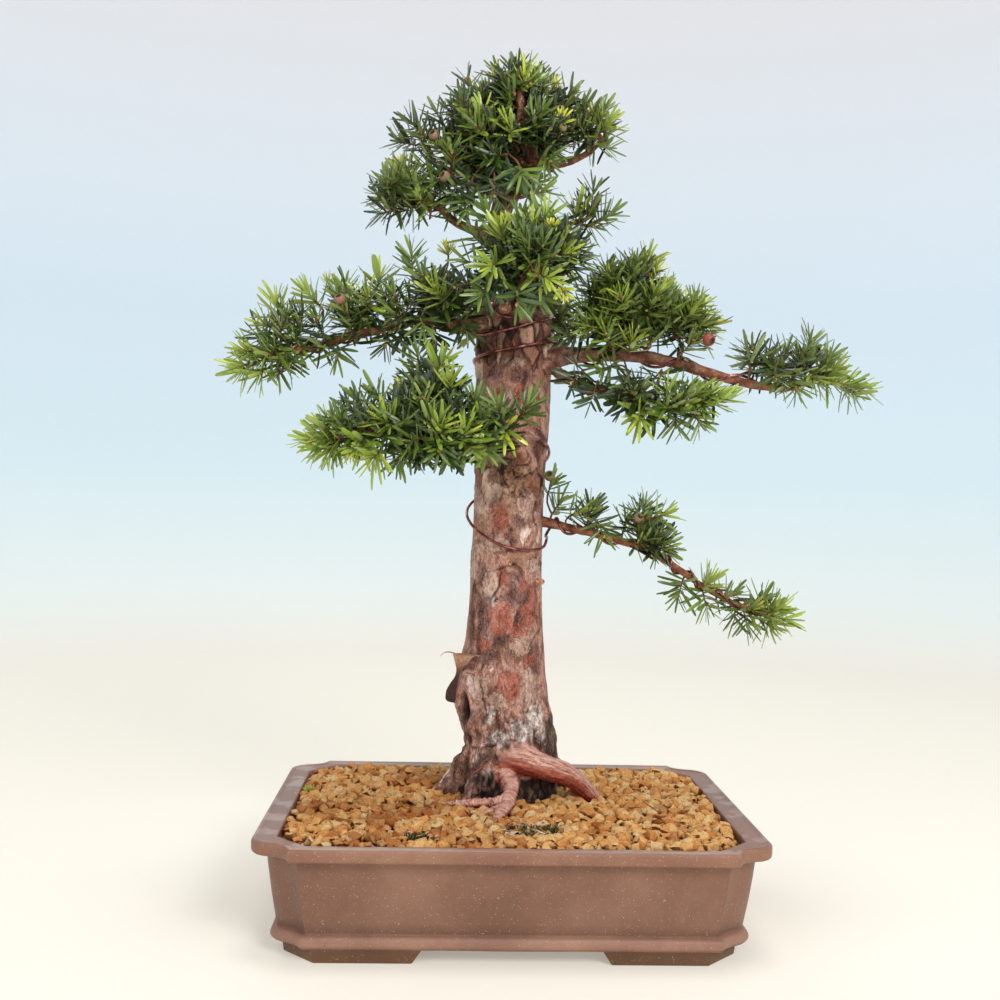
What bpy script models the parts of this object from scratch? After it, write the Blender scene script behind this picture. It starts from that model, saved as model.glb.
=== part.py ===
# Japanese yew bonsai in its unglazed rectangular pot.
# Lengths are in metres and +Z is up. Everything hangs on one empty, "bonsai", which stands on the
# ground under the middle of the whole object; on it, the pot's centre is the local origin, the pot's
# long side runs along X and its front faces -Y.
import math

import bmesh
import bpy
from mathutils import Vector, noise

MM = 0.001
CLEARANCE = 0.0004              # gap between pieces that touch
POT_CENTRE_X = -0.028           # the right branches reach further out than the left ones

# Pot
RIM_HALF_LENGTH = 0.190
RIM_HALF_WIDTH = 0.1425
RIM_CUT = 0.030                 # leg of the cut corner
RIM_OGEE = 0.0024               # swing of the S-shaped corner line
RIM_TOP = 0.0864
RIM_FACE = 0.010                # height of the lip's upright face
RIM_OVERHANG = 0.011
RIM_TOP_SIDE = 0.0145           # width of the rim's top along the front and back
RIM_TOP_END = 0.0178            # width of the rim's top at the two ends
RIM_EDGE = 0.0015               # softening of the rim's edges
RIM_FALL = 0.0006               # the rim's top slopes inwards by this
LIP_COVE = 0.002                # small cove under the lip
WALL_TAPER = 0.007
WALL_CUT = 0.024
BAND_TOP = 0.0205
BAND_PROUD = 0.004              # how far the rounded foot band stands out
BAND_STEP = 0.0003              # height over which the band meets the wall
FLOOR_UNDERSIDE = 0.0105
FLOOR_TOP = 0.0185
CORNER_POINTS = 8
FOOT_DEPTH = 0.026
FOOT_FRONT_END = 0.072          # where the front arm of a foot ends, from the middle
FOOT_SIDE_END = 0.066
FOOT_SLANT = 0.007
FOOT_FLARE = 0.2                # the outer faces lean out by this share of the slant
FOOT_INNER_CUT = 0.4            # inner corner's cut as a share of the outer one's
FOOT_SINK = 0.002               # how far a foot reaches into the floor above it
FOOT_HALF_LENGTH = 0.1665
FOOT_HALF_WIDTH = 0.1235
DRAIN_OFFSET = 0.090
DRAIN_RADIUS = 0.013
DRAIN_SIDES = 20

# Drainage mesh and its wire clip
MESH_PITCH = 0.006
MESH_CELLS = 7
MESH_THICKNESS = 0.0012
CLIP_RADIUS = 0.0006
CLIP_SIDES = 6
CLIP_BEND = 0.001
CLIP_LEG = 0.010                # from the hole's middle to the wire's legs
CLIP_FOOT = 0.021               # from the hole's middle to the wire's ends

# Soil
SOIL_LEVEL = 0.0795
SOIL_CELL = 0.024
SOIL_MOUND = 0.004              # rise around the roots
SOIL_MOUND_REACH = 0.075
SOIL_MOUND_ACROSS = 1.2         # the mound is narrower across the pot by this
SOIL_BUMP = 0.0016
SOIL_BUMPS_PER_METRE = 38
SOIL_SINK = 0.004               # the block that the soil is cut from starts this far under the floor

# Trunk: height, centre x, half width along x, half width along y
TRUNK_Y = 0.038
TRUNK_SIDES = 16
TRUNK_SECTIONS = [
    (0.046, 0.003, 0.034, 0.032),
    (0.070, 0.003, 0.039, 0.037),
    (0.092, 0.003, 0.041, 0.039),
    (0.120, 0.005, 0.040, 0.038),
    (0.137, 0.003, 0.039, 0.038),
    (0.162, -0.005, 0.041, 0.038),
    (0.188, -0.005, 0.038, 0.036),
    (0.214, -0.003, 0.033, 0.033),
    (0.248, -0.003, 0.031, 0.031),
    (0.290, -0.003, 0.030, 0.030),
    (0.333, -0.002, 0.030, 0.030),
    (0.375, -0.002, 0.031, 0.030),
    (0.418, -0.001, 0.032, 0.031),
    (0.461, -0.001, 0.033, 0.032),
    (0.482, -0.001, 0.034, 0.032),
    (0.493, 0.000, 0.031, 0.030),
    (0.499, 0.002, 0.025, 0.024),
]

# Roots, the leader and the knots belong to the trunk. Each row is x, y, z and radius in millimetres.
TRUNK_LIMBS = {
    "root_right": [(-8, 14, 124, 14), (14, -1, 121, 11.5), (32, -4, 115, 10.5), (47, 0, 110, 10),
                   (60, 7, 103, 9.5), (72, 15, 94, 9.5), (83, 24, 84, 9), (93, 33, 71, 7), (100, 40, 58, 4)],
    "root_right_rootlet": [(55, 8, 102, 4), (58, 12, 92, 3), (61, 15, 82, 3), (63, 17, 66, 2)],
    "root_front": [(-4, 16, 118, 10), (0, 1, 108, 7.5), (3, -9, 99, 6.5), (1, -22, 91, 5.5),
                   (-4, -37, 84, 5), (-9, -52, 77, 4.5), (-12, -64, 66, 3)],
    "root_front_left": [(2, -17, 94, 5), (-13, -20, 89, 4.6), (-28, -19, 84.5, 4.2), (-41, -17, 79, 3.6),
                        (-52, -15, 68, 2.5)],
    "root_front_middle": [(-1, -28, 88, 4), (-10, -34, 83, 3.2), (-18, -41, 77, 2.8), (-25, -49, 67, 2)],
    "root_left": [(-18, 30, 124, 15), (-32, 26, 108, 13), (-43, 28, 94, 12), (-54, 34, 80, 9),
                  (-66, 40, 64, 5)],
    "root_left_front": [(-14, 16, 112, 9), (-24, 7, 102, 7), (-32, 1, 88, 6), (-39, -5, 70, 4)],
    "root_back_left": [(-12, 46, 116, 14), (-26, 64, 100, 11), (-40, 80, 85, 8.5), (-54, 92, 67, 5)],
    "root_back": [(6, 52, 116, 14), (12, 72, 99, 11), (16, 88, 83, 8), (19, 101, 66, 5)],
    "root_back_right": [(18, 42, 122, 16), (37, 50, 104, 13), (52, 60, 86, 9), (66, 69, 66, 5)],
    "leader": [(2, 40, 478, 22), (4, 38, 500, 17), (-2, 37, 520, 13.5), (-9, 36, 538, 11.5),
               (-18, 36, 560, 10), (-12, 36, 588, 9), (2, 34, 609, 8.2), (8, 30, 624, 7.2), (2, 24, 646, 5.8),
               (-2, 14, 667, 4.6)],
    "knot_front": [(4, 30, 356, 19), (7, 16, 362, 15), (8, 6, 366, 10.5)],
    "stub_front_left": [(-6, 26, 490, 9), (-10, 10, 493, 6.5), (-12, -2, 493.5, 5.5)],
    "knot_right": [(10, 36, 450, 16), (26, 34, 452, 13), (31, 33, 454, 11)],
}

# Branches carried by the trunk or by another branch, in the same terms
BRANCHES = {
    "branch_upper_left": [(-22, 22, 480, 6.5), (-40, 12, 478, 5.6), (-56, 8, 478, 5), (-74, 4, 480, 4.6),
                          (-100, -4, 475, 4.1), (-117, -8, 468, 3.8), (-140, -12, 462, 3.4),
                          (-166, -16, 451, 2.9), (-186, -20, 449, 2.4), (-204, -24, 440, 1.9)],
    "branch_lower_left": [(9, 16, 365, 7), (6, -2, 370, 5.6), (-2, -18, 377, 5), (-18, -32, 384, 4.6),
                          (-42, -43, 389, 4.2), (-70, -51, 391, 3.7), (-100, -57, 389, 3.1),
                          (-130, -61, 382, 2.5), (-150, -62, 374, 2)],
    "branch_lower_left_side": [(-16, -31, 384, 3.8), (-30, -29, 390, 3.4), (-46, -25, 402, 3),
                               (-60, -20, 416, 2.5), (-74, -16, 430, 2)],
    "branch_right": [(10, 34, 453, 12), (30, 30, 456, 10), (50, 26, 457, 7.6), (71, 22, 458, 6.4),
                     (99, 16, 457, 5.6), (124, 10, 453, 5), (152, 4, 445, 4.4), (184, -2, 436, 3.7),
                     (208, -6, 432, 3.2), (232, -10, 435, 2.5), (250, -12, 438, 1.9)],
    "branch_right_lower": [(22, 24, 449, 6), (38, 13, 439, 5), (52, 7, 431, 4.4), (72, 1, 425, 3.9),
                           (101, -7, 418, 3.2), (133, -14, 414, 2.5), (153, -17, 416, 1.9)],
    "branch_low_right": [(14, 36, 318, 6), (32, 32, 315, 4.4), (46, 26, 312, 3.7), (66, 20, 308, 3.5),
                         (90, 14, 302, 3.3), (115, 8, 294, 3), (139, 2, 279, 2.7), (163, -4, 263, 2.3),
                         (187, -8, 252, 1.9), (206, -12, 246, 1.6)],
    "branch_front": [(3, 26, 502, 6.5), (5, 8, 506, 5.5), (7, -16, 509, 4.8), (9, -40, 511, 4.2),
                     (10, -62, 512, 3.6)],
    "branch_back": [(2, 54, 480, 7), (6, 74, 487, 5.2), (12, 92, 494, 4.2), (20, 110, 500, 3)],
    "crown_branch_left": [(-14, 35, 556, 5), (-34, 20, 557, 3.9), (-54, 8, 562, 3.5), (-67, -2, 571, 3.1),
                          (-84, -8, 578, 2.6), (-103, -12, 581, 1.9)],
    "crown_branch_right": [(7, 31, 620, 4.6), (25, 24, 616, 3.4), (42, 16, 618, 3), (56, 8, 624, 2.6),
                           (66, 4, 634, 1.9)],
    "crown_branch_upper_left": [(-9, 36, 594, 5), (-24, 26, 604, 3.6), (-38, 18, 616, 3), (-54, 8, 630, 2.1)],
    "crown_branch_back": [(-4, 35, 602, 5), (-6, 50, 612, 3.8), (-10, 64, 628, 3), (-14, 72, 646, 2.1)],
    "twig_small_right": [(-16, 36, 568, 3.6), (6, 26, 565, 2.5), (34, 18, 565, 2.1), (50, 12, 567, 1.9),
                         (62, 10, 573, 1.5)],
}
BRANCH_PARENTS = {
    "branch_lower_left_side": ["branch_lower_left"],
    "branch_right_lower": ["branch_right"],
}
BRANCH_SIDES = 8
LIMB_SIDES = 9
BRANCH_STEP = 0.018             # length of one facet along a branch
LIMB_STEP = 0.018

# Foliage pads: lobes of the needle mass as x, y, z and radius in millimetres
PADS = {
    "foliage_upper_left_tip": (["branch_upper_left"], [
        (-205, -24, 434, 27), (-191, -20, 466, 22), (-180, -2, 461, 20), (-216, -30, 424, 17)]),
    "foliage_upper_left_middle": (["branch_upper_left"], [
        (-152, -22, 475, 18), (-144, 4, 488, 21), (-145, -14, 456, 16), (-127, -12, 489, 22),
        (-128, 20, 484, 20)]),
    "foliage_upper_left_inner": (["branch_upper_left"], [
        (-78, -10, 499, 23), (-77, 26, 502, 23), (-60, -14, 503, 24), (-58, 30, 507, 23), (-68, 4, 480, 19),
        (-46, 2, 500, 17)]),
    "foliage_lower_left_tip": (["branch_lower_left"], [
        (-155, -62, 371, 18), (-136, -66, 379, 20), (-134, -42, 380, 18), (-120, -60, 390, 19)]),
    "foliage_lower_left": (["branch_lower_left", "branch_lower_left_side"], [
        (-84, -42, 377, 20), (-82, -68, 386, 22), (-76, -40, 407, 24), (-82, -16, 434, 21),
        (-62, -18, 420, 22), (-54, -50, 395, 25), (-60, -62, 372, 22), (-34, -52, 382, 22),
        (-12, -46, 395, 19), (-2, -42, 380, 15)]),
    "foliage_right_upper": (["branch_right"], [
        (93, 4, 530, 23), (76, 26, 515, 22), (62, 26, 496, 22), (66, -6, 482, 18), (86, -10, 498, 23),
        (115, 22, 496, 23), (111, -14, 488, 21), (135, -2, 492, 24), (146, -8, 474, 18), (92, 17, 475, 20)]),
    "foliage_right_lower": (["branch_right_lower"], [
        (68, -8, 428, 16), (92, 8, 424, 17), (99, -22, 420, 20), (124, -6, 418, 18), (135, -28, 420, 20),
        (158, -20, 422, 17), (118, -20, 404, 17)]),
    "foliage_right_tip": (["branch_right"], [
        (193, -4, 461, 22), (206, 14, 448, 18), (221, -12, 462, 19), (245, 0, 453, 21), (239, -26, 443, 19),
        (265, -12, 439, 21), (274, -8, 430, 15)]),
    "foliage_low_right_inner": (["branch_low_right"], [
        (47, 24, 336, 13), (56, 20, 328, 13), (69, 17, 322, 14)]),
    "foliage_low_right_middle": (["branch_low_right"], [
        (107, 14, 320, 19), (112, -6, 311, 17), (128, 6, 299, 17)]),
    "foliage_low_right_tip": (["branch_low_right"], [
        (150, 0, 270, 15), (174, 8, 271, 16), (172, -18, 260, 15), (194, -6, 256, 18), (213, -12, 247, 18)]),
    "foliage_front": (["branch_front"], [
        (-22, -20, 532, 18), (-14, -38, 540, 20), (8, -22, 546, 21), (7, -56, 529, 22), (31, -34, 534, 23),
        (50, -24, 530, 15), (-12, -50, 516, 19), (20, -60, 510, 16), (32, -56, 499, 14)]),
    "foliage_crown_left": (["crown_branch_left"], [
        (-90, -8, 600, 19), (-99, -22, 579, 20), (-102, 8, 586, 19), (-112, -8, 569, 15),
        (-82, -8, 578, 17)]),
    "foliage_crown": (["crown_branch_right", "crown_branch_upper_left", "crown_branch_back"], [
        (-3, 10, 676, 27), (-29, 24, 671, 25), (25, 26, 673, 25), (-42, 6, 644, 25), (-20, -14, 631, 25),
        (13, -10, 637, 24), (44, 14, 649, 24), (65, 2, 643, 20), (-52, 8, 624, 20), (-28, 8, 606, 22),
        (8, 12, 600, 18), (-17, 58, 668, 28), (-42, 52, 636, 26), (12, 58, 639, 27), (-16, 62, 610, 22)]),
    "foliage_small_right": (["twig_small_right"], [(46, 15, 577, 14), (62, 10, 579, 14)]),
    "foliage_back": (["branch_back"], [
        (30, 106, 503, 25), (58, 96, 494, 21), (0, 110, 511, 26), (-26, 100, 500, 24), (36, 108, 483, 19)]),
}
PAD_VOXEL = 0.0095
PAD_DETAIL = 0.4

# Training wire: its turns around the branches and its loops around the trunk
WIRE_RADIUS = 0.00125
WIRE_POINTS_PER_TURN = 8
WIRE_SIDES = 6
WIRE_TRUNK_STEP = 22.5          # degrees between two points of a loop around the trunk
WIRE_TRUNK_ROOM = 0.7           # extra standoff in millimetres, so that straight pieces clear the trunk
ROUND_TO_FLAT = 1 / math.cos(math.pi / BRANCH_SIDES)     # a bar's reach at its corners over its flats

# Moss cushions on the soil: centre, half sizes
MOSS = {
    "moss_front": ((20, -84, 79), (27, 15, 6)),
    "moss_edge": ((-70, -104, 79), (15, 9, 6)),
}

FIRED_CLAY = ("fired_clay", (0.305, 0.162, 0.115), 0.55)
BLACK_MESH = ("black_mesh", (0.018, 0.018, 0.020), 0.5)
CLIP_WIRE = ("clip_wire", (0.50, 0.50, 0.50), 0.4)
AKADAMA = ("akadama", (0.560, 0.290, 0.100), 0.95)
BARK = ("bark", (0.290, 0.160, 0.115), 0.85)
TWIG_BARK = ("twig_bark", (0.240, 0.115, 0.060), 0.8)
NEEDLES = ("needles", (0.060, 0.160, 0.035), 0.45)
COPPER_BROWN = ("copper_brown_wire", (0.120, 0.035, 0.025), 0.35)
MOSS_GREEN = ("moss_green", (0.060, 0.110, 0.025), 0.95)


def clear_scene():
    for item in list(bpy.data.objects):
        bpy.data.objects.remove(item, do_unlink=True)


def material(finish):
    name, colour, roughness = finish
    found = bpy.data.materials.get(name)
    if found:
        return found
    made = bpy.data.materials.new(name)
    made.use_nodes = True
    shader = made.node_tree.nodes["Principled BSDF"]
    shader.inputs["Base Color"].default_value = (*colour, 1.0)
    shader.inputs["Roughness"].default_value = roughness
    shader.inputs["Metallic"].default_value = 1.0 if finish in (CLIP_WIRE, COPPER_BROWN) else 0.0
    made.diffuse_color = (*colour, 1.0)
    return made


def place(name, data, finish, frame):
    made = bpy.data.objects.new(name, data)
    bpy.context.scene.collection.objects.link(made)
    made.parent = frame
    made.data.materials.append(material(finish))
    return made


def as_guide(item):
    item.hide_render = True
    item.display_type = "WIRE"
    return item


def boolean(target, cutter, operation):
    step = target.modifiers.new(operation.lower() + "_" + cutter.name, "BOOLEAN")
    step.operation = operation
    step.solver = "EXACT"
    step.object = cutter


def mesh_from_rings(name, rings):
    """A closed body through rings of equal point counts, from the first cap to the last."""
    bm = bmesh.new()
    loops = [[bm.verts.new(point) for point in ring] for ring in rings]
    count = len(rings[0])
    for low, high in zip(loops, loops[1:]):
        for i in range(count):
            j = (i + 1) % count
            bm.faces.new((low[i], low[j], high[j], high[i]))
    bm.faces.new(list(reversed(loops[0])))
    bm.faces.new(loops[-1])
    bmesh.ops.recalc_face_normals(bm, faces=bm.faces)
    mesh = bpy.data.meshes.new(name)
    bm.to_mesh(mesh)
    bm.free()
    return mesh


# Curves through hand-placed points
def smooth_rows(rows, step):
    """Rows of x, y, z, radius in metres, read from a smooth curve through rows in millimetres."""
    points = [[value * MM for value in row] for row in rows]
    padded = [points[0]] + points + [points[-1]]
    result = []
    for i in range(1, len(padded) - 2):
        before, start, end, after = padded[i - 1:i + 3]
        length = math.dist(start[:3], end[:3])
        pieces = max(1, round(length / step))
        for k in range(pieces):
            t = k / pieces
            row = []
            for a, b, c, d in zip(before, start, end, after):
                bend = (2 * a - 5 * b + 4 * c - d) * t ** 2 + (3 * b - a - 3 * c + d) * t ** 3
                row.append((2 * b + (c - a) * t + bend) / 2)
            result.append(row)
    result.append(points[-1])
    return result


def frames_along(rows):
    """Centre, radius, tangent and two crosswise directions at each row, turning as little as possible."""
    centres = [Vector(row[:3]) for row in rows]
    tangents = []
    for i in range(len(centres)):
        before = centres[max(i - 1, 0)]
        after = centres[min(i + 1, len(centres) - 1)]
        tangents.append((after - before).normalized())
    side = tangents[0].orthogonal().normalized()
    frames = []
    for centre, row, tangent in zip(centres, rows, tangents):
        side = (side - tangent * side.dot(tangent)).normalized()
        frames.append((centre, row[3], tangent, side, tangent.cross(side)))
    return frames


def tube_mesh(name, rows, sides, grow=0.0):
    frames = frames_along(rows)
    rings = []
    for i, (centre, radius, tangent, side, lift) in enumerate(frames):
        if i == 0:
            centre = centre - tangent * grow
        if i == len(frames) - 1:
            centre = centre + tangent * grow
        reach = radius + grow
        rings.append([
            centre + side * (reach * math.cos(2 * math.pi * k / sides))
            + lift * (reach * math.sin(2 * math.pi * k / sides)) for k in range(sides)])
    return mesh_from_rings(name, rings)


# Pot
def outline(half_length, half_width, cut, swing, height, count=CORNER_POINTS):
    """Plan of the pot at one height: a rectangle with cut corners, each cut swinging in and out."""
    points = []
    for sign_x, sign_y, from_end in ((1, -1, False), (1, 1, True), (-1, 1, False), (-1, -1, True)):
        corner = []
        for k in range(count):
            t = k / (count - 1)
            inward = swing * math.sin(2 * math.pi * t) / math.sqrt(2)
            x = half_length - cut * (1 - t) - inward
            y = half_width - cut * t - inward
            corner.append(Vector((sign_x * x, sign_y * y, height)))
        points += reversed(corner) if from_end else corner
    return points


def wall_half(height):
    """Half length and half width of the wall's outer face at a height."""
    rise = (height - BAND_TOP) / (RIM_TOP - RIM_FACE - BAND_TOP)
    inset = RIM_OVERHANG + WALL_TAPER * (1 - rise)
    return RIM_HALF_LENGTH - inset, RIM_HALF_WIDTH - inset


def pot_rings():
    low_length, low_width = wall_half(BAND_TOP)
    top_length, top_width = wall_half(RIM_TOP - RIM_FACE)
    band_middle = (FLOOR_UNDERSIDE + BAND_TOP) / 2
    band_half = (BAND_TOP - FLOOR_UNDERSIDE) / 2
    rings = []
    for angle in (-90, -45, 0, 45, 90):
        turn = math.radians(angle)
        proud = BAND_PROUD * math.cos(turn) + BAND_STEP
        height = band_middle + band_half * math.sin(turn)
        rings.append(outline(low_length + proud, low_width + proud, WALL_CUT, 0, height))
    rings.append(outline(low_length, low_width, WALL_CUT, 0, BAND_TOP + BAND_STEP))
    lip_bottom = RIM_TOP - RIM_FACE
    rings.append(outline(top_length, top_width, WALL_CUT, 0, lip_bottom - LIP_COVE))
    rings.append(outline(top_length + LIP_COVE, top_width + LIP_COVE, WALL_CUT + LIP_COVE, 0, lip_bottom))
    edge_length = RIM_HALF_LENGTH - RIM_EDGE
    edge_width = RIM_HALF_WIDTH - RIM_EDGE
    for length, width, height in (
            (edge_length, edge_width, lip_bottom + BAND_STEP),
            (RIM_HALF_LENGTH, RIM_HALF_WIDTH, lip_bottom + RIM_EDGE),
            (RIM_HALF_LENGTH, RIM_HALF_WIDTH, RIM_TOP - RIM_EDGE),
            (edge_length, edge_width, RIM_TOP)):
        rings.append(outline(length, width, RIM_CUT, RIM_OGEE, height))
    length, width = inner_half(RIM_TOP)
    rings.append(outline(length + RIM_EDGE, width + RIM_EDGE, WALL_CUT, 0, RIM_TOP - RIM_FALL))
    rings.append(outline(length, width, WALL_CUT, 0, RIM_TOP - RIM_FALL - RIM_EDGE))
    length, width = inner_half(FLOOR_TOP)
    rings.append(outline(length, width, WALL_CUT, 0, FLOOR_TOP))
    return rings


def inner_half(height):
    """Half length and half width of the pot's hollow at a height."""
    drop = (RIM_TOP - height) / (RIM_TOP - FLOOR_TOP)
    inset = WALL_TAPER * drop
    return RIM_HALF_LENGTH - RIM_TOP_END - inset, RIM_HALF_WIDTH - RIM_TOP_SIDE - inset


def foot_mesh(name, sign_x, sign_y):
    """An L-shaped foot under one cut corner, with slanted ends."""
    def ring(height, slant):
        length = FOOT_HALF_LENGTH + slant * FOOT_FLARE
        width = FOOT_HALF_WIDTH + slant * FOOT_FLARE
        inner_cut = WALL_CUT * FOOT_INNER_CUT
        front_end = FOOT_FRONT_END - slant
        side_end = FOOT_SIDE_END - slant
        plan = [
            (front_end, width), (length - WALL_CUT, width), (length, width - WALL_CUT),
            (length, side_end), (length - FOOT_DEPTH, side_end),
            (length - FOOT_DEPTH, width - FOOT_DEPTH - inner_cut),
            (length - FOOT_DEPTH - inner_cut, width - FOOT_DEPTH), (front_end, width - FOOT_DEPTH)]
        return [Vector((sign_x * x, sign_y * y, height)) for x, y in plan]
    rings = [ring(0.0, 0.0), ring(FLOOR_UNDERSIDE, FOOT_SLANT), ring(FLOOR_UNDERSIDE + FOOT_SINK, FOOT_SLANT)]
    return mesh_from_rings(name, rings)


def make_pot(frame):
    pot = place("pot", mesh_from_rings("pot", pot_rings()), FIRED_CLAY, frame)
    for sign_x in (-1, 1):
        for sign_y in (-1, 1):
            name = f"foot_guide_{sign_x}_{sign_y}"
            foot = as_guide(place(name, foot_mesh(name, sign_x, sign_y), FIRED_CLAY, frame))
            boolean(pot, foot, "UNION")
    for side in (-1, 1):
        name = f"drain_hole_guide_{side}"
        rows = [(side * DRAIN_OFFSET, 0, height, DRAIN_RADIUS)
                for height in (0.0, FLOOR_UNDERSIDE + FLOOR_TOP)]
        hole = as_guide(place(name, tube_mesh(name, rows, DRAIN_SIDES), FIRED_CLAY, frame))
        boolean(pot, hole, "DIFFERENCE")
    return pot


# Drainage mesh and clips
def mesh_plate(name, centre_x, bottom):
    """A square plate with open cells between its bars."""
    bm = bmesh.new()
    half = MESH_CELLS * MESH_PITCH / 2
    grid = [[bm.verts.new((centre_x - half + i * MESH_PITCH, -half + j * MESH_PITCH, bottom))
             for j in range(MESH_CELLS + 1)] for i in range(MESH_CELLS + 1)]
    for i in range(MESH_CELLS):
        for j in range(MESH_CELLS):
            if i % 2 and j % 2:
                continue
            bm.faces.new((grid[i][j], grid[i + 1][j], grid[i + 1][j + 1], grid[i][j + 1]))
    grown = bmesh.ops.extrude_face_region(bm, geom=bm.faces[:])
    raised = [item for item in grown["geom"] if isinstance(item, bmesh.types.BMVert)]
    bmesh.ops.translate(bm, verts=raised, vec=(0, 0, MESH_THICKNESS))
    bmesh.ops.recalc_face_normals(bm, faces=bm.faces)
    mesh = bpy.data.meshes.new(name)
    bm.to_mesh(mesh)
    bm.free()
    return mesh


def clip_rows(centre_x, mesh_bottom):
    """A staple: over the mesh, down through the drain hole, bent outwards under the floor."""
    over = mesh_bottom + MESH_THICKNESS + CLEARANCE + CLIP_RADIUS
    under = FLOOR_UNDERSIDE - CLEARANCE - CLIP_RADIUS
    half = [(0, over), (CLIP_LEG - CLIP_BEND, over), (CLIP_LEG, over - CLIP_BEND),
            (CLIP_LEG, under + CLIP_BEND), (CLIP_LEG + CLIP_BEND, under), (CLIP_FOOT, under)]
    path = [(-x, z) for x, z in reversed(half[1:])] + half
    return [(centre_x + x, 0, z, CLIP_RADIUS) for x, z in path]


def make_drainage(frame):
    bottom = FLOOR_TOP + CLEARANCE
    for side, word in ((-1, "left"), (1, "right")):
        name = "drain_mesh_" + word
        place(name, mesh_plate(name, side * DRAIN_OFFSET, bottom), BLACK_MESH, frame)
        name = "mesh_clip_" + word
        place(name, tube_mesh(name, clip_rows(side * DRAIN_OFFSET, bottom), CLIP_SIDES), CLIP_WIRE, frame)


# Soil
def soil_height(x, y):
    away = math.hypot(x - TRUNK_SECTIONS[0][1], (y - TRUNK_Y) * SOIL_MOUND_ACROSS)
    mound = SOIL_MOUND * math.exp(-(away / SOIL_MOUND_REACH) ** 2)
    bump = SOIL_BUMP * noise.noise(Vector((x, y, 0.0)) * SOIL_BUMPS_PER_METRE)
    return SOIL_LEVEL + mound + bump


def soil_mesh(name, raised):
    """A block with the soil's uneven top, larger than the pot's hollow."""
    bm = bmesh.new()
    columns = round(2 * RIM_HALF_LENGTH / SOIL_CELL)
    rows = round(2 * RIM_HALF_WIDTH / SOIL_CELL)
    grid = []
    for i in range(columns + 1):
        x = -RIM_HALF_LENGTH + 2 * RIM_HALF_LENGTH * i / columns
        line = []
        for j in range(rows + 1):
            y = -RIM_HALF_WIDTH + 2 * RIM_HALF_WIDTH * j / rows
            line.append(bm.verts.new((x, y, soil_height(x, y) + raised)))
        grid.append(line)
    for i in range(columns):
        for j in range(rows):
            corners = (grid[i][j], grid[i + 1][j], grid[i + 1][j + 1], grid[i][j + 1])
            bm.faces.new(corners)
    grown = bmesh.ops.extrude_face_region(bm, geom=bm.faces[:])
    for item in grown["geom"]:
        if isinstance(item, bmesh.types.BMVert):
            item.co.z = FLOOR_TOP - SOIL_SINK
    bmesh.ops.dissolve_limit(bm, angle_limit=0.001, verts=bm.verts[:], edges=bm.edges[:])
    bmesh.ops.triangulate(bm, faces=bm.faces[:])
    bmesh.ops.recalc_face_normals(bm, faces=bm.faces)
    mesh = bpy.data.meshes.new(name)
    bm.to_mesh(mesh)
    bm.free()
    return mesh


def hollow_guide(frame):
    """The pot's hollow, smaller all round by the clearance."""
    rings = []
    for height in (FLOOR_TOP + CLEARANCE, RIM_TOP + RIM_FACE):
        length, width = inner_half(height)
        rings.append(outline(length - CLEARANCE, width - CLEARANCE, WALL_CUT, 0, height, count=2))
    return as_guide(place("hollow_guide", mesh_from_rings("hollow_guide", rings), AKADAMA, frame))


def mesh_room(frame, side):
    """Room under the soil for a drainage mesh and the top of its clip."""
    name = f"mesh_room_{side}"
    half = MESH_CELLS * MESH_PITCH / 2 + CLEARANCE
    top = FLOOR_TOP + MESH_THICKNESS + 2 * CLIP_RADIUS + 3 * CLEARANCE
    centre_x = side * DRAIN_OFFSET
    corners = ((-1, -1), (1, -1), (1, 1), (-1, 1))
    rings = [[Vector((centre_x + a * half, b * half, height)) for a, b in corners]
             for height in (FLOOR_TOP - SOIL_SINK, top)]
    return as_guide(place(name, mesh_from_rings(name, rings), AKADAMA, frame))


def make_soil(frame, trunk_room):
    soil = place("soil_bed", soil_mesh("soil_bed", 0.0), AKADAMA, frame)
    boolean(soil, hollow_guide(frame), "INTERSECT")
    boolean(soil, trunk_room, "DIFFERENCE")
    for side in (-1, 1):
        boolean(soil, mesh_room(frame, side), "DIFFERENCE")


def make_moss(frame, trunk_room):
    raised = soil_mesh("soil_room", CLEARANCE)
    soil_room = as_guide(place("soil_room", raised, AKADAMA, frame))
    for name, (centre, half) in MOSS.items():
        bm = bmesh.new()
        bmesh.ops.create_icosphere(bm, subdivisions=2, radius=1.0)
        for vert in bm.verts:
            vert.co = Vector([(c + h * v) * MM for c, h, v in zip(centre, half, vert.co)])
        mesh = bpy.data.meshes.new(name)
        bm.to_mesh(mesh)
        bm.free()
        cushion = place(name, mesh, MOSS_GREEN, frame)
        boolean(cushion, soil_room, "DIFFERENCE")
        boolean(cushion, trunk_room, "DIFFERENCE")


# Trunk
def trunk_section(height):
    """Centre x and the two half widths of the trunk at a height."""
    rows = TRUNK_SECTIONS
    height = min(max(height, rows[0][0]), rows[-1][0])
    for low, high in zip(rows, rows[1:]):
        if height <= high[0]:
            t = (height - low[0]) / (high[0] - low[0])
            return [a + (b - a) * t for a, b in zip(low[1:], high[1:])]
    return rows[-1][1:]


def trunk_point(angle, height, standoff):
    centre_x, half_x, half_y = trunk_section(height)
    return Vector((centre_x + (half_x + standoff) * math.cos(angle),
                   TRUNK_Y + (half_y + standoff) * math.sin(angle), height))


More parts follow.
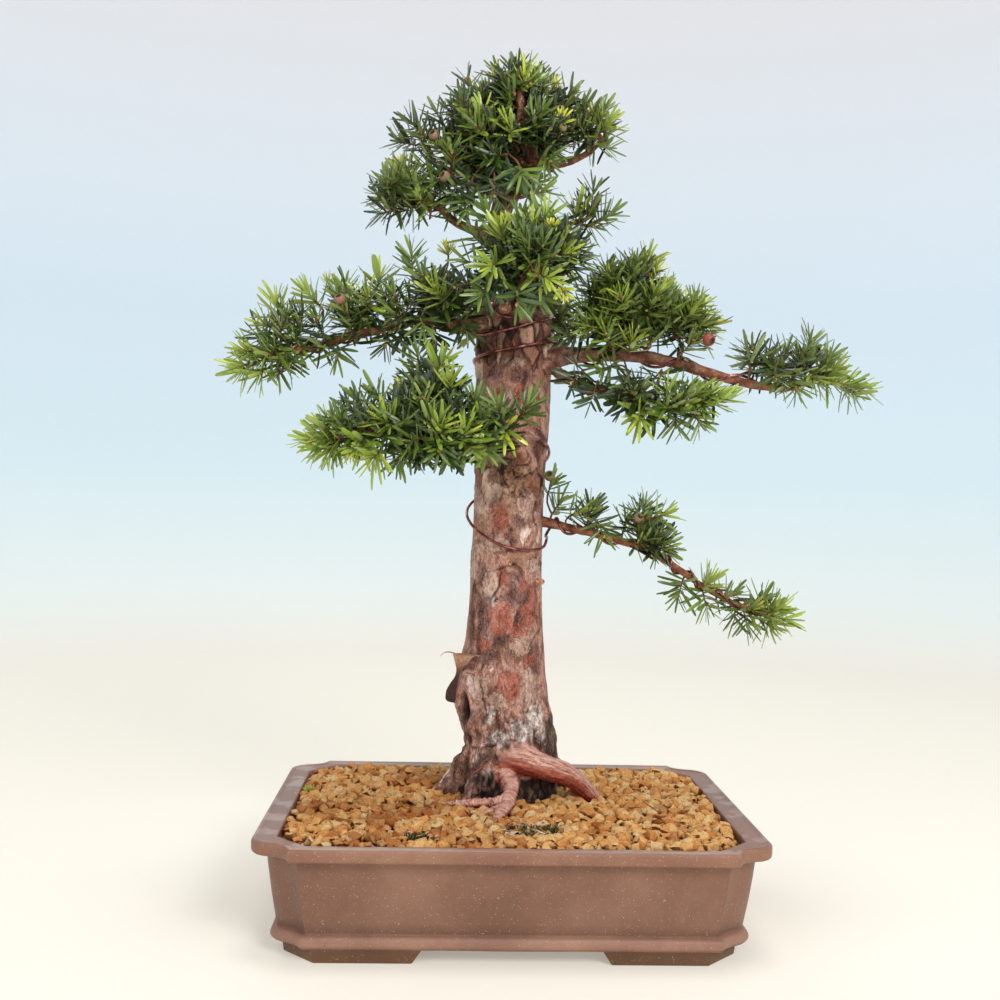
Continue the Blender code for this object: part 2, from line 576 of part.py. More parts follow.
def trunk_body(name, frame, grow):
    heights = [row[0] for row in TRUNK_SECTIONS]
    rings = []
    for i, height in enumerate(heights):
        ring = [trunk_point(2 * math.pi * k / TRUNK_SIDES, height, grow) for k in range(TRUNK_SIDES)]
        shift = -grow if i == 0 else grow if i == len(heights) - 1 else 0.0
        rings.append([point + Vector((0, 0, shift)) for point in ring])
    body = place(name, mesh_from_rings(name, rings), BARK, frame)
    for limb, rows in TRUNK_LIMBS.items():
        guide_name = name + "_" + limb
        mesh = tube_mesh(guide_name, smooth_rows(rows, LIMB_STEP), LIMB_SIDES, grow)
        boolean(body, as_guide(place(guide_name, mesh, BARK, frame)), "UNION")
    return body


# Branches
def branch_room(name, frame, wired):
    """Room around a branch, with its training wire if it has one."""
    rows = smooth_rows(BRANCHES[name], BRANCH_STEP)
    if wired:
        rows = [(*row[:3], wired_radius(row[3])) for row in rows]
    guide_name = name + ("_wired_room" if wired else "_room")
    mesh = tube_mesh(guide_name, rows, BRANCH_SIDES, CLEARANCE)
    return as_guide(place(guide_name, mesh, TWIG_BARK, frame))


def wired_radius(radius):
    """Radius that a branch takes up with wire wound round it."""
    outer = (radius + WIRE_RADIUS + CLEARANCE) * ROUND_TO_FLAT + WIRE_RADIUS
    return outer * ROUND_TO_FLAT


def make_branches(frame, trunk_room):
    for name, rows in BRANCHES.items():
        mesh = tube_mesh(name, smooth_rows(rows, BRANCH_STEP), BRANCH_SIDES)
        branch = place(name, mesh, TWIG_BARK, frame)
        boolean(branch, trunk_room, "DIFFERENCE")
        for parent in BRANCH_PARENTS.get(name, []):
            boolean(branch, branch_room(parent, frame, False), "DIFFERENCE")


# Foliage
def pad_mesh(name, lobes):
    bm = bmesh.new()
    for x, y, z, radius in lobes:
        made = bmesh.ops.create_icosphere(bm, subdivisions=2, radius=radius * MM)
        bmesh.ops.translate(bm, verts=made["verts"], vec=Vector((x, y, z)) * MM)
    mesh = bpy.data.meshes.new(name)
    bm.to_mesh(mesh)
    bm.free()
    return mesh


def make_foliage(frame, trunk_wide):
    rooms = {}
    for name, (carriers, lobes) in PADS.items():
        pad = place(name, pad_mesh(name, lobes), NEEDLES, frame)
        remesh = pad.modifiers.new("one_mass", "REMESH")
        remesh.mode = "VOXEL"
        remesh.voxel_size = PAD_VOXEL
        thin = pad.modifiers.new("fewer_faces", "DECIMATE")
        thin.ratio = PAD_DETAIL
        boolean(pad, trunk_wide, "DIFFERENCE")
        for carrier in carriers:
            if carrier not in rooms:
                rooms[carrier] = branch_room(carrier, frame, carrier in WIRED_BRANCHES)
            boolean(pad, rooms[carrier], "DIFFERENCE")


# Training wire
def turns_on(branch, start, end, turns, phase):
    """Points of a coil around a branch, from one share of its length to another.

    The phase is in degrees: 90 is the branch's top and 0 its right-hand side, seen from its root.
    """
    rows = smooth_rows(BRANCHES[branch], BRANCH_STEP)
    count = max(2, round(abs(turns) * WIRE_POINTS_PER_TURN))
    points = []
    for k in range(count + 1):
        t = k / count
        place_on = (start + (end - start) * t) * (len(rows) - 1)
        low = min(int(place_on), len(rows) - 2)
        mix = place_on - low
        row = [a + (b - a) * mix for a, b in zip(rows[low], rows[low + 1])]
        tangent = (Vector(rows[low + 1][:3]) - Vector(rows[low][:3])).normalized()
        side = tangent.cross(Vector((0, 0, 1))).normalized()
        lift = side.cross(tangent)
        turn = math.radians(phase) + 2 * math.pi * turns * t
        reach = (row[3] + WIRE_RADIUS + CLEARANCE) * ROUND_TO_FLAT
        points.append(Vector(row[:3]) + side * (reach * math.cos(turn)) + lift * (reach * math.sin(turn)))
    return points


def around_trunk(stops):
    """Points around the trunk through stops of angle in degrees, height and extra standoff in millimetres."""
    points = []
    rows = []
    for low, high in zip(stops, stops[1:]):
        pieces = max(1, round(abs(high[0] - low[0]) / WIRE_TRUNK_STEP))
        for k in range(pieces):
            rows.append([a + (b - a) * k / pieces for a, b in zip(low, high)])
    rows.append(stops[-1])
    for angle, height, extra in rows:
        standoff = WIRE_RADIUS + CLEARANCE + (extra + WIRE_TRUNK_ROOM) * MM
        points.append(trunk_point(math.radians(angle), height * MM, standoff))
    return points


WIRED_BRANCHES = ("branch_upper_left", "branch_lower_left", "branch_right", "branch_right_lower",
                  "branch_low_right", "branch_front", "branch_back")


def wire_routes():
    """Each wire is wound outwards along one branch, anchored on the trunk, and wound along another."""
    stub_hook = [Vector(point) * MM for point in (
        (-3, 1, 504), (-12, -1, 503.5), (-19, 2, 499), (-20.5, 3.5, 493), (-18, 2.5, 487), (-12, 1.5, 484.5),
        (-6, 2.5, 484))]
    return {
        "wire_right": turns_on("branch_right", 0.10, 0.93, 3.7, 90)[::-1]
        + around_trunk([(-22, 469.5, 1), (-90, 460, 0), (-180, 450, 0), (-270, 444, 0), (-340, 436, 0)])
        + turns_on("branch_right_lower", 0.25, 0.93, 3.0, 180),
        "wire_upper_left": turns_on("branch_upper_left", 0.20, 0.93, 5.0, 270)[::-1]
        + around_trunk([(-146, 470, 1), (-120, 472, 0), (-90, 477, 0), (-20, 490, 0), (40, 492, 0)])
        + turns_on("branch_back", 0.45, 0.95, 1.5, 0),
        "wire_low": turns_on("branch_lower_left", 0.20, 0.9, 3.0, 120)[::-1]
        + around_trunk([(-55, 388, 1.5), (0, 372, 0), (90, 352, 0), (180, 322, 5), (230, 302, 2),
                        (270, 292, 0), (340, 293, 0), (362, 302, 2), (373, 315, 4)])
        + turns_on("branch_low_right", 0.12, 0.97, -6.0, 100),
        "wire_front": turns_on("branch_front", 0.30, 0.92, 2.5, 0)[::-1] + stub_hook,
    }


def make_wires(frame):
    for name, points in wire_routes().items():
        rows = [(*point, WIRE_RADIUS) for point in points]
        place(name, tube_mesh(name, rows, WIRE_SIDES), COPPER_BROWN, frame)


def make_bonsai():
    clear_scene()
    frame = bpy.data.objects.new("bonsai", None)
    bpy.context.scene.collection.objects.link(frame)
    frame.location = (POT_CENTRE_X, 0, 0)
    make_pot(frame)
    make_drainage(frame)
    trunk_body("trunk", frame, 0.0)
    trunk_room = as_guide(trunk_body("trunk_room", frame, CLEARANCE))
    trunk_wide = as_guide(trunk_body("trunk_wide", frame, 2 * WIRE_RADIUS + 3 * CLEARANCE))
    make_soil(frame, trunk_room)
    make_moss(frame, trunk_room)
    make_branches(frame, trunk_room)
    make_foliage(frame, trunk_wide)
    make_wires(frame)


make_bonsai()
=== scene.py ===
# Japanese yew bonsai in its unglazed pot: the looks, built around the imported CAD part.
# The tables hold millimetres, or metres where a note says so; objects and meshes are in metres.
import math
import random

import bmesh
import bpy
import numpy as np
from mathutils import Euler, Matrix, Vector, noise
from mathutils.bvhtree import BVHTree


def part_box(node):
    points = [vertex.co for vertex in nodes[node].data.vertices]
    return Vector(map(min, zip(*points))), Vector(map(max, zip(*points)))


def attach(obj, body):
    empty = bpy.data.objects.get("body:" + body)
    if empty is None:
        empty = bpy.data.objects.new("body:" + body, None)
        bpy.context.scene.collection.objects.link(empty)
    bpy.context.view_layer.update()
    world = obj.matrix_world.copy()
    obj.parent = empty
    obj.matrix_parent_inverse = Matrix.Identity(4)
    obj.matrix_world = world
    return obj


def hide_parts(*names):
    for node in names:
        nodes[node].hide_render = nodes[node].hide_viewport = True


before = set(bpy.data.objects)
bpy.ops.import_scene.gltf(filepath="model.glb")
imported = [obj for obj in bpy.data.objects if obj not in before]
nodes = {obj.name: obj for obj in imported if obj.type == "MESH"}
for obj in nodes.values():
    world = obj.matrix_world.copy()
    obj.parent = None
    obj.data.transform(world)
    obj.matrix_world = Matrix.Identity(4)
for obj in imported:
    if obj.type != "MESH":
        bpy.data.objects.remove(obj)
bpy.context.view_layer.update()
mm = 0.001
potX = -28                       # millimetres from the whole object's middle to the pot's middle
trunkY = 38                      # millimetres from the pot's middle back to the trunk's
trunkTop, trunkReach = 500, 31   # where the plain trunk ends, and its widest radius
up = Vector((0, 0, 1))
toViewer = Vector((0, -1, 0))
eye = Vector((-82.6, -983.4, 334.8))     # the camera's place, in millimetres
print("frame loaded:", len(nodes), "CAD nodes")


# Small helpers
def clearSelection():
    if bpy.context.object and bpy.context.object.mode == "EDIT":
        bpy.ops.object.mode_set(mode="OBJECT")
    bpy.ops.object.select_all(action="DESELECT")


def pick(item):
    clearSelection()
    item.select_set(True)
    bpy.context.view_layer.objects.active = item
    return item


def settle(item):
    # the object ends at the origin, unturned and unscaled, with its place in its mesh
    pick(item)
    bpy.ops.object.transform_apply(location=True, rotation=True, scale=True)
    return item


def addModifier(item, kind, **settings):
    made = item.modifiers.new(kind.lower(), kind)
    for name, value in settings.items():
        setattr(made, name, value)
    return made


def applyModifiers(item):
    pick(item)
    for name in [step.name for step in item.modifiers]:
        bpy.ops.object.modifier_apply(modifier=name)
    return item


def smoothShade(item, degrees):
    pick(item)
    bpy.ops.object.shade_smooth_by_angle(angle=math.radians(degrees))
    return item


def editAll(item):
    pick(item)
    bpy.ops.object.mode_set(mode="EDIT")
    bpy.ops.mesh.select_all(action="SELECT")


def leaveEdit():
    bpy.ops.object.mode_set(mode="OBJECT")


def copyOfNode(name, nodeName):
    # a CAD node's mesh is loose triangles, so its copy is merged before anything else
    made = bpy.data.objects.new(name, nodes[nodeName].data.copy())
    bpy.context.scene.collection.objects.link(made)
    made.data.materials.clear()
    editAll(made)
    bpy.ops.mesh.remove_doubles(threshold=1e-5)
    leaveEdit()
    return made


def dress(item, material):
    item.data.materials.clear()
    item.data.materials.append(material)


def finishPiece(item, material, slotName, *replaced):
    dress(item, material)
    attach(item, "root")
    if replaced:
        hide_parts(*replaced)
    return item


def readAll(rows, name, width=3, kind=float):
    found = np.empty(len(rows) * width, kind)
    rows.foreach_get(name, found)
    return found.reshape(-1, 3) if width == 3 else found


def pointsOf(item):
    return readAll(item.data.vertices, "co")


def surfaceOf(item):
    # points in millimetres and their normals
    return pointsOf(item) / mm, readAll(item.data.vertex_normals, "vector")


def movePoints(item, points):
    item.data.vertices.foreach_set("co", np.asarray(points, np.float32).ravel())
    item.data.update()


def roughen(item, at, out, move):
    # points move along their normals, in millimetres
    movePoints(item, (at + out * move[:, None]) * mm)


def markPoints(item, name, values):
    layer = item.data.attributes.get(name) or item.data.attributes.new(name, "FLOAT", "POINT")
    layer.data.foreach_set("value", np.asarray(values, np.float32))


def smoothRows(rows, step):
    # rows of x, y, z and radius in millimetres on a smooth line through the given ones
    rows = np.array([rows[0], *rows, rows[-1]], float)
    made = []
    for a, b, c, d in zip(rows, rows[1:], rows[2:], rows[3:]):
        for t in np.arange(0, 1, 1 / max(1, round(np.linalg.norm((c - b)[:3]) / step))):
            made.append((2 * b + (c - a) * t + (2 * a - 5 * b + 4 * c - d) * t ** 2
                         + (3 * b - a - 3 * c + d) * t ** 3) / 2)
    return np.array(made + [rows[-1]])


def tubesFrom(name, strands, sides):
    # round strands through rows of x, y, z and radius in millimetres
    clearSelection()
    bpy.ops.curve.primitive_bezier_curve_add()
    made = bpy.context.object
    made.name = name
    line = made.data
    line.splines.clear()
    line.bevel_depth = mm
    line.bevel_resolution = max(0, sides // 2 - 2)
    line.use_fill_caps = True
    for rows in strands:
        strand = line.splines.new("POLY")
        strand.points.add(len(rows) - 1)
        for point, row in zip(strand.points, rows):
            point.co = (row[0] * mm, row[1] * mm, row[2] * mm, 1)
            point.radius = row[3]
    pick(made)
    bpy.ops.object.convert(target="MESH")
    made = bpy.context.object
    editAll(made)
    bpy.ops.mesh.remove_doubles(threshold=1e-6)
    bpy.ops.mesh.normals_make_consistent(inside=False)
    leaveEdit()
    return made


def liftRings(name, rings):
    # a ring of edges is extruded again and again, each time onto the next outline
    clearSelection()
    bpy.ops.mesh.primitive_circle_add(vertices=len(rings[0]), radius=1, fill_type="NGON")
    made = bpy.context.object
    made.name = name
    editAll(made)
    for k, ring in enumerate(rings):
        if k:
            bpy.ops.mesh.extrude_region_move()
        shape = bmesh.from_edit_mesh(made.data)
        chosen = [v for v in shape.verts if v.select]
        if k:
            old = np.array(rings[k - 1]) * mm
        else:
            turns = [2 * math.pi * j / len(ring) for j in range(len(ring))]
            old = np.array([(-math.sin(turn), math.cos(turn), 0) for turn in turns])
        for vertex in chosen:
            j = int(np.linalg.norm(old - np.array(vertex.co), axis=1).argmin())
            vertex.co = ring[j] * mm
        bmesh.update_edit_mesh(made.data)
    bpy.ops.mesh.select_all(action="SELECT")
    bpy.ops.mesh.normals_make_consistent(inside=False)
    leaveEdit()
    return made


# Copies of a few modelled originals, written into one mesh of their own
def readOriginal(item):
    # the modelled shape as plain arrays, and away with its object
    mesh = item.data
    corners = readAll(mesh.loops, "vertex_index", 1, int)
    sizes = readAll(mesh.polygons, "loop_total", 1, int)
    faceUp = np.repeat([face.normal.z > 0 for face in mesh.polygons], sizes)
    made = {"points": pointsOf(item), "corners": corners, "sizes": sizes, "faceUp": faceUp}
    bpy.data.objects.remove(item)
    return made


def axesFor(way, size, wide=1):
    # rows for a shape along X that looks along way
    side = way.orthogonal().normalized()
    return [way * size, side * (size * wide), way.cross(side) * (size * wide)]


def stampCopies(name, originals, kinds, turns, places, cornerMap=None):
    # turns are 3 x 3 matrices, a row for each axis of the original, and places are in metres
    points, corners, sizes, maps, owners, first = [], [], [], [], [], 0
    kinds, turns, places = np.array(kinds), np.array(turns), np.array(places)
    for kind, original in enumerate(originals):
        chosen = np.flatnonzero(kinds == kind)
        if not len(chosen):
            continue
        moved = np.einsum("ni,pij->pnj", original["points"], turns[chosen]) + places[chosen][:, None]
        starts = first + np.arange(len(chosen)) * len(original["points"])
        points.append(moved.reshape(-1, 3))
        corners.append((starts[:, None] + original["corners"]).ravel())
        sizes.append(np.tile(original["sizes"], len(chosen)))
        owners.append(np.repeat(chosen, len(original["points"])))
        if cornerMap:
            maps.append(cornerMap(original, chosen))
        first += len(chosen) * len(original["points"])
    points, corners, sizes = (np.concatenate(part) for part in (points, corners, sizes))
    mesh = bpy.data.meshes.new(name)
    mesh.vertices.add(len(points))
    mesh.vertices.foreach_set("co", points.astype(np.float32).ravel())
    mesh.loops.add(len(corners))
    mesh.loops.foreach_set("vertex_index", corners.astype(np.int32))
    mesh.polygons.add(len(sizes))
    mesh.polygons.foreach_set("loop_start", (np.cumsum(sizes) - sizes).astype(np.int32))
    if maps:
        layer = mesh.uv_layers.new(name="OFBake")
        layer.data.foreach_set("uv", np.concatenate(maps).astype(np.float32).ravel())
    mesh.update(calc_edges=True)
    made = bpy.data.objects.new(name, mesh)
    bpy.context.scene.collection.objects.link(made)
    return made, np.concatenate(owners)


# Materials
def srgb(red, green, blue):
    return (*(((c / 255 + .055) / 1.055) ** 2.4 for c in (red, green, blue)), 1)


def newMaterial(name, roughness, **fixed):
    material = bpy.data.materials.new(name)
    material.use_nodes = True
    shader = material.node_tree.nodes["Principled BSDF"]
    for socket, value in {"Roughness": roughness, **fixed}.items():
        shader.inputs[socket.replace("_", " ")].default_value = value
    return material, material.node_tree


def put(tree, kind, inputs={}, **settings):
    made = tree.nodes.new("ShaderNode" + kind)
    for name, value in settings.items():
        setattr(made, name, value)
    for name, value in inputs.items():
        if isinstance(value, bpy.types.NodeSocket):
            tree.links.new(value, made.inputs[name])
        else:
            made.inputs[name].default_value = value
    return made


def linkTo(value, socket):
    value.id_data.links.new(value, value.id_data.nodes["Principled BSDF"].inputs[socket])


def placeOf(tree, stretch=(1, 1, 1)):
    place = put(tree, "TexCoord").outputs["Object"]
    return put(tree, "Mapping", {"Vector": place, "Scale": stretch}).outputs["Vector"]


def alongAxis(place, axis):
    return put(place.id_data, "SeparateXYZ", {0: place}).outputs[axis]


def facingOf(tree):
    # 1 where the surface looks straight up, -1 where it looks down
    return alongAxis(put(tree, "NewGeometry").outputs["Normal"], 2)


def attributeOf(tree, name):
    return put(tree, "Attribute", attribute_name=name).outputs["Fac"]


def noiseOf(place, scale, detail=4, roughness=.55, warp=0):
    return put(place.id_data, "TexNoise", {"Vector": place, "Scale": scale, "Detail": detail,
                                           "Roughness": roughness, "Distortion": warp}).outputs[0]


def spreadOf(value, low, high):
    # a noise value stretched so that low to high fills 0 to 1
    return put(value.id_data, "MapRange", {0: value, 1: low, 2: high}).outputs[0]


def rampOf(factor, *stops):
    # stops are (position, colour): red, green and blue from 0 to 255, or one grey from 0 to 1
    made = put(factor.id_data, "ValToRGB", {"Fac": factor})
    for k, (place, colour) in enumerate(stops):
        # a new ramp has two stops, which are taken first
        stop = made.color_ramp.elements[k] if k < 2 else made.color_ramp.elements.new(place)
        stop.color = (colour, colour, colour, 1) if isinstance(colour, (int, float)) else srgb(*colour)
        stop.position = place
    return made.outputs["Color"]


def treeOf(values):
    return next(value.id_data for value in values if isinstance(value, bpy.types.NodeSocket))


def mixOf(factor, a, b, blend="MIX"):
    # colours only; numbers are blended by the functions below
    return put(treeOf((factor, a, b)), "Mix", {0: factor, 6: a, 7: b}, data_type="RGBA",
               blend_type=blend).outputs[2]


def darken(factor, a, b):
    return mixOf(factor, a, b, "MULTIPLY")


def mathOf(operation, *values):
    return put(treeOf(values), "Math", dict(enumerate(values)), operation=operation).outputs[0]


def times(a, b):
    return mathOf("MULTIPLY", a, b)


def plus(a, b):
    return mathOf("ADD", a, b)


def minus(a, b):
    return mathOf("SUBTRACT", a, b)


def bumpOf(height, depth, strength=1.0):
    # depth in millimetres
    bump = put(height.id_data, "Bump", {"Height": height, "Distance": depth * mm, "Strength": strength})
    linkTo(bump.outputs["Normal"], "Normal")


def cloudedMaterial(name, roughness, cloud, stops, bump=None, **fixed):
    # one clouded tone: the cloud's scale, detail and roughness, and the bump's depth and strength
    material, tree = newMaterial(name, roughness, **fixed)
    tone = noiseOf(placeOf(tree), *cloud)
    linkTo(rampOf(tone, *stops), "Base Color")
    if bump:
        bumpOf(tone, *bump)
    return material


# Branch routes, as in the CAD source: x, y, z and radius in millimetres from the pot's middle
branchRoutes = {
    "branch_upper_left": [(-22, 22, 480, 6.5), (-40, 12, 478, 5.6), (-56, 8, 478, 5), (-74, 4, 480, 4.6),
                          (-100, -4, 475, 4.1), (-117, -8, 468, 3.8), (-140, -12, 462, 3.4),
                          (-166, -16, 451, 2.9), (-186, -20, 449, 2.4), (-204, -24, 440, 1.9)],
    "branch_lower_left": [(9, 16, 365, 7), (6, -2, 370, 5.6), (-2, -18, 377, 5), (-18, -32, 384, 4.6),
                          (-42, -43, 389, 4.2), (-70, -51, 391, 3.7), (-100, -57, 389, 3.1),
                          (-130, -61, 382, 2.5), (-150, -62, 374, 2)],
    "branch_lower_left_side": [(-16, -31, 384, 3.8), (-30, -29, 390, 3.4), (-46, -25, 402, 3),
                               (-60, -20, 416, 2.5), (-74, -16, 430, 2)],
    "branch_right": [(10, 34, 453, 12), (30, 30, 456, 10), (50, 26, 457, 7.6), (71, 22, 458, 6.4),
                     (99, 16, 457, 5.6), (124, 10, 453, 5), (152, 4, 445, 4.4), (184, -2, 436, 3.7),
                     (208, -6, 432, 3.2), (232, -10, 435, 2.5), (250, -12, 438, 1.9)],
    "branch_right_lower": [(22, 24, 449, 6), (38, 13, 439, 5), (52, 7, 431, 4.4), (72, 1, 425, 3.9),
                           (101, -7, 418, 3.2), (133, -14, 414, 2.5), (153, -17, 416, 1.9)],
    "branch_low_right": [(14, 36, 318, 6), (32, 32, 315, 4.4), (46, 26, 312, 3.7), (66, 20, 308, 3.5),
                         (90, 14, 302, 3.3), (115, 8, 294, 3), (139, 2, 279, 2.7), (163, -4, 263, 2.3),
                         (187, -8, 252, 1.9), (206, -12, 246, 1.6)],
    "branch_front": [(3, 26, 502, 6.5), (5, 8, 506, 5.5), (7, -16, 509, 4.8), (9, -40, 511, 4.2),
                     (10, -62, 512, 3.6)],
    "branch_back": [(2, 54, 480, 7), (6, 74, 487, 5.2), (12, 92, 494, 4.2), (20, 110, 500, 3)],
    "crown_branch_left": [(-14, 35, 556, 5), (-34, 20, 557, 3.9), (-54, 8, 562, 3.5), (-67, -2, 571, 3.1),
                          (-84, -8, 578, 2.6), (-103, -12, 581, 1.9)],
    "crown_branch_right": [(7, 31, 620, 4.6), (25, 24, 616, 3.4), (42, 16, 618, 3), (56, 8, 624, 2.6),
                           (66, 4, 634, 1.9)],
    "crown_branch_upper_left": [(-9, 36, 594, 5), (-24, 26, 604, 3.6), (-38, 18, 616, 3), (-54, 8, 630, 2.1)],
    "crown_branch_back": [(-4, 35, 602, 5), (-6, 50, 612, 3.8), (-10, 64, 628, 3), (-14, 72, 646, 2.1)],
    "twig_small_right": [(-16, 36, 568, 3.6), (6, 26, 565, 2.5), (34, 18, 565, 2.1), (50, 12, 567, 1.9),
                         (62, 10, 573, 1.5)],
}
leaderRoute = [(2, 40, 478, 22), (4, 38, 500, 17), (-2, 37, 520, 13.5), (-9, 36, 538, 11.5),
               (-18, 36, 560, 10), (-12, 36, 588, 9), (2, 34, 609, 8.2), (8, 30, 624, 7.2), (2, 24, 646, 5.8),
               (-2, 14, 667, 4.6)]


def fineRoute(rows, step):
    made = smoothRows(rows, step)
    made[:, 0] += potX
    return made


# Needles and shoots
foliage = {
    "needleLength": 21,          # millimetres
    "needleFoot": (.45, .3),     # half width and half thickness
    # share of the length, half width and half thickness
    "needleRings": ((.07, 1.05, .42), (.32, 1.7, .5), (.74, 1.66, .46), (.94, 1.1, .3)),
    "needleBends": ((0, 0), (1.5, .6), (-1.2, -.8), (3, -.5), (-2.6, 1), (.6, -2.2)),
    "fillSpacing": 13.6,         # millimetres between two shoots that only fill a pad
    "fillDepth": 5,              # how far under the CAD pad's skin they stand
    "tipDepth": 11,              # the same in the pads that end in a spray
    "looseDepth": 8,             # and in the loose pads at the upper left
    # painted light and shade: how much lighter or darker than the rest some pads are, to match how brightly
    # each is lit
    "tones": {"foliage_front": -.05, "foliage_lower_left": -.03, "foliage_right_upper": .05,
              "foliage_upper_left_middle": -.02, "foliage_upper_left_inner": -.02},
    "shades": {"dark": .14, "mid": .34, "spray": .5, "fresh": .6, "yellow": .82},
    "spiral": 137.5,             # degrees from one needle of a shoot to the next
    "bigShare": .07, "bigger": 1.2,          # needles much longer and wider than the rest
    "yellowWider": 1.25,
    "keepClear": 18,             # room behind a shoot in the loose pads
    "twigStep": 6, "twigSizes": (.45, .62, 2.2),     # tips, thinnest twig and thickest twig
    "budShare": .5, "budSizes": (1.1, 1.9),
    # wood that stays in sight: x, z and half sizes where it is, and its y
    "clearings": [(-30, 662, 7, 13, 18), (-27, 622, 12, 9, 22), (-40, 491, 9, 9, 4)],
}
# needles on a shoot, the shoot's and the needles' lengths, lean at its base and tip, and flatness
shootForms = {
    "dark": ((17, 23), (14, 22), (18, 24), (84, 34), .25),
    "mid": ((17, 24), (13, 21), (18, 24), (82, 28), .15),
    "fresh": ((15, 21), (8, 15), (18, 26), (76, 18), 0),
    "yellow": ((13, 18), (5, 8), (10, 14), (52, 10), 0),
    "spray": ((26, 32), (34, 44), (19, 25), (66, 24), .8),
}


def modelNeedle(rise, drift):
    # a flat blunt needle with a raised midrib, along X; rise and drift are its tip's offsets in millimetres
    clearSelection()
    bpy.ops.mesh.primitive_circle_add(vertices=4, radius=1, fill_type="NGON", rotation=(0, math.pi / 2, 0))
    made = settle(bpy.context.object)
    editAll(made)
    length = foliage["needleLength"]
    at, size = Vector((0, 0, 0)), foliage["needleFoot"]
    bpy.ops.transform.resize(value=(1, *size), center_override=at)
    for t, halfWidth, halfThick in foliage["needleRings"]:
        goal = Vector((length * t, drift * t * t, rise * t * t))
        bpy.ops.mesh.extrude_region_move(TRANSFORM_OT_translate={"value": goal - at})
        at = goal
        bpy.ops.transform.resize(value=(1, halfWidth / size[0], halfThick / size[1]), center_override=at)
        size = (halfWidth, halfThick)
    bpy.ops.mesh.extrude_region_move(TRANSFORM_OT_translate={"value": Vector((length, drift, rise)) - at})
    bpy.ops.mesh.merge(type="CENTER")
    bpy.ops.mesh.select_all(action="SELECT")
    bpy.ops.mesh.normals_make_consistent(inside=False)
    leaveEdit()
    return readOriginal(made)


def needleMap(shades):
    # across the map: the shade, from dark to yellow; up the map: along the underside, then along the top
    def cornerMap(original, chosen):
        at = original["points"][original["corners"]]
        along = np.clip(at[:, 0] / foliage["needleLength"], 0, 1)
        rows = np.where(original["faceUp"], .55, .05) + .4 * along
        across = shades[chosen][:, None] + .008 * np.sign(at[:, 1])
        return np.stack([across, np.broadcast_to(rows, across.shape)], -1).reshape(-1, 2)
    return cornerMap


def needleMaterial(name, roughness, **gloss):
    material, tree = newMaterial(name, roughness, **gloss)
    place = put(tree, "UVMap", uv_map="OFBake").outputs[0]
    shade, row = alongAxis(place, 0), alongAxis(place, 1)
    along = mathOf("DIVIDE", mathOf("MODULO", minus(row, .05), .5), .4)
    onTop = mathOf("GREATER_THAN", row, .5)
    top = rampOf(shade, (0, (22, 32, 11)), (.15, (47, 65, 24)), (.36, (94, 117, 40)), (.6, (154, 173, 60)),
                 (.8, (206, 209, 68)), (.9, (228, 218, 88)), (.93, (116, 64, 28)), (.97, (150, 80, 34)),
                 (1, (206, 104, 36)))
    # dead needles have no pale underside
    pale = times(mathOf("LESS_THAN", shade, .915), .55)
    under = mixOf(pale, top, srgb(170, 182, 108))
    body = mixOf(onTop, under, top)
    ends = rampOf(along, (0, .62), (.12, .95), (.86, 1.0), (1, .8))
    linkTo(darken(1.0, body, ends), "Base Color")
    return material


def scatter(dice, size):
    return Vector([dice.gauss(0, size) for _ in "xyz"])


def shootNeedles(dice, seat, heading, kind, shade, seen):
    # rows of place, heading, upper side, size, width and shade, for the needles of one shoot
    counts, reaches, lengths, leans, flatness = shootForms[kind]
    reach, count = dice.uniform(*reaches), dice.randint(*counts)
    base = seat - heading * (reach * (.6 if seen else .95))
    side = heading.orthogonal().normalized()
    over = heading.cross(side)
    glance = toViewer * .7 + up * .7
    plane = (glance - heading * glance.dot(heading)).normalized()
    phase = dice.uniform(0, 360)
    away = Vector((base.x - potX, base.y - trunkY, 0)).normalized()
    rows = []
    for i in range(count):
        t = (i + .5) / count
        turn = math.radians(phase + foliage["spiral"] * i + dice.gauss(0, 9))
        outward = side * math.cos(turn) + over * math.sin(turn)
        outward = (outward - plane * (outward.dot(plane) * flatness)).normalized()
        lean = math.radians(leans[0] + (leans[1] - leans[0]) * t ** 1.3 + dice.gauss(0, 7))
        way = heading * math.cos(lean) + outward * math.sin(lean) + up * dice.uniform(0, .16)
        way.normalize()
        # the upper sides look to the shoot's tip, the sky and away from the tree
        upper = heading * .5 + up * .45 + away * .7 + plane * flatness + scatter(dice, .2)
        upper = (upper - way * upper.dot(way)).normalized()
        length = dice.uniform(*lengths) * (1 - .3 * t ** 3) / foliage["needleLength"]
        wide = dice.uniform(.66, .98) * (foliage["yellowWider"] if kind == "yellow" else 1)
        if dice.random() < foliage["bigShare"]:
            length, wide = length * foliage["bigger"], wide * foliage["bigger"]
        rows.append((base + heading * (reach * t), way, upper, length, wide,
                     min(.895, max(.02, shade + .14 * (t - .5) + dice.gauss(0, .055)))))
    return rows, base, base + heading * (reach * .85)


def skinOf(item):
    # a surface that can be searched, in millimetres
    mesh = item.data
    return BVHTree.FromPolygons([v.co / mm for v in mesh.vertices], [f.vertices for f in mesh.polygons])


def depthIn(skin, place):
    # millimetres under the skin, negative outside
    near, normal, _, away = skin.find_nearest(place)
    return away if (place - near).dot(normal) < 0 else -away


def hidesWood(place):
    # in front of a clearing, as seen from the camera
    for x, z, wide, tall, depth in foliage["clearings"]:
        if place.y < depth:
            seen = place + (place - eye) * ((depth - place.y) / (place.y - eye.y))
            if abs(seen.x - x) < wide and abs(seen.z - z) < tall:
                return True
    return False


def insideTrunk(place):
    return place.z < trunkTop and math.hypot(place.x - potX, place.y - trunkY) < trunkReach


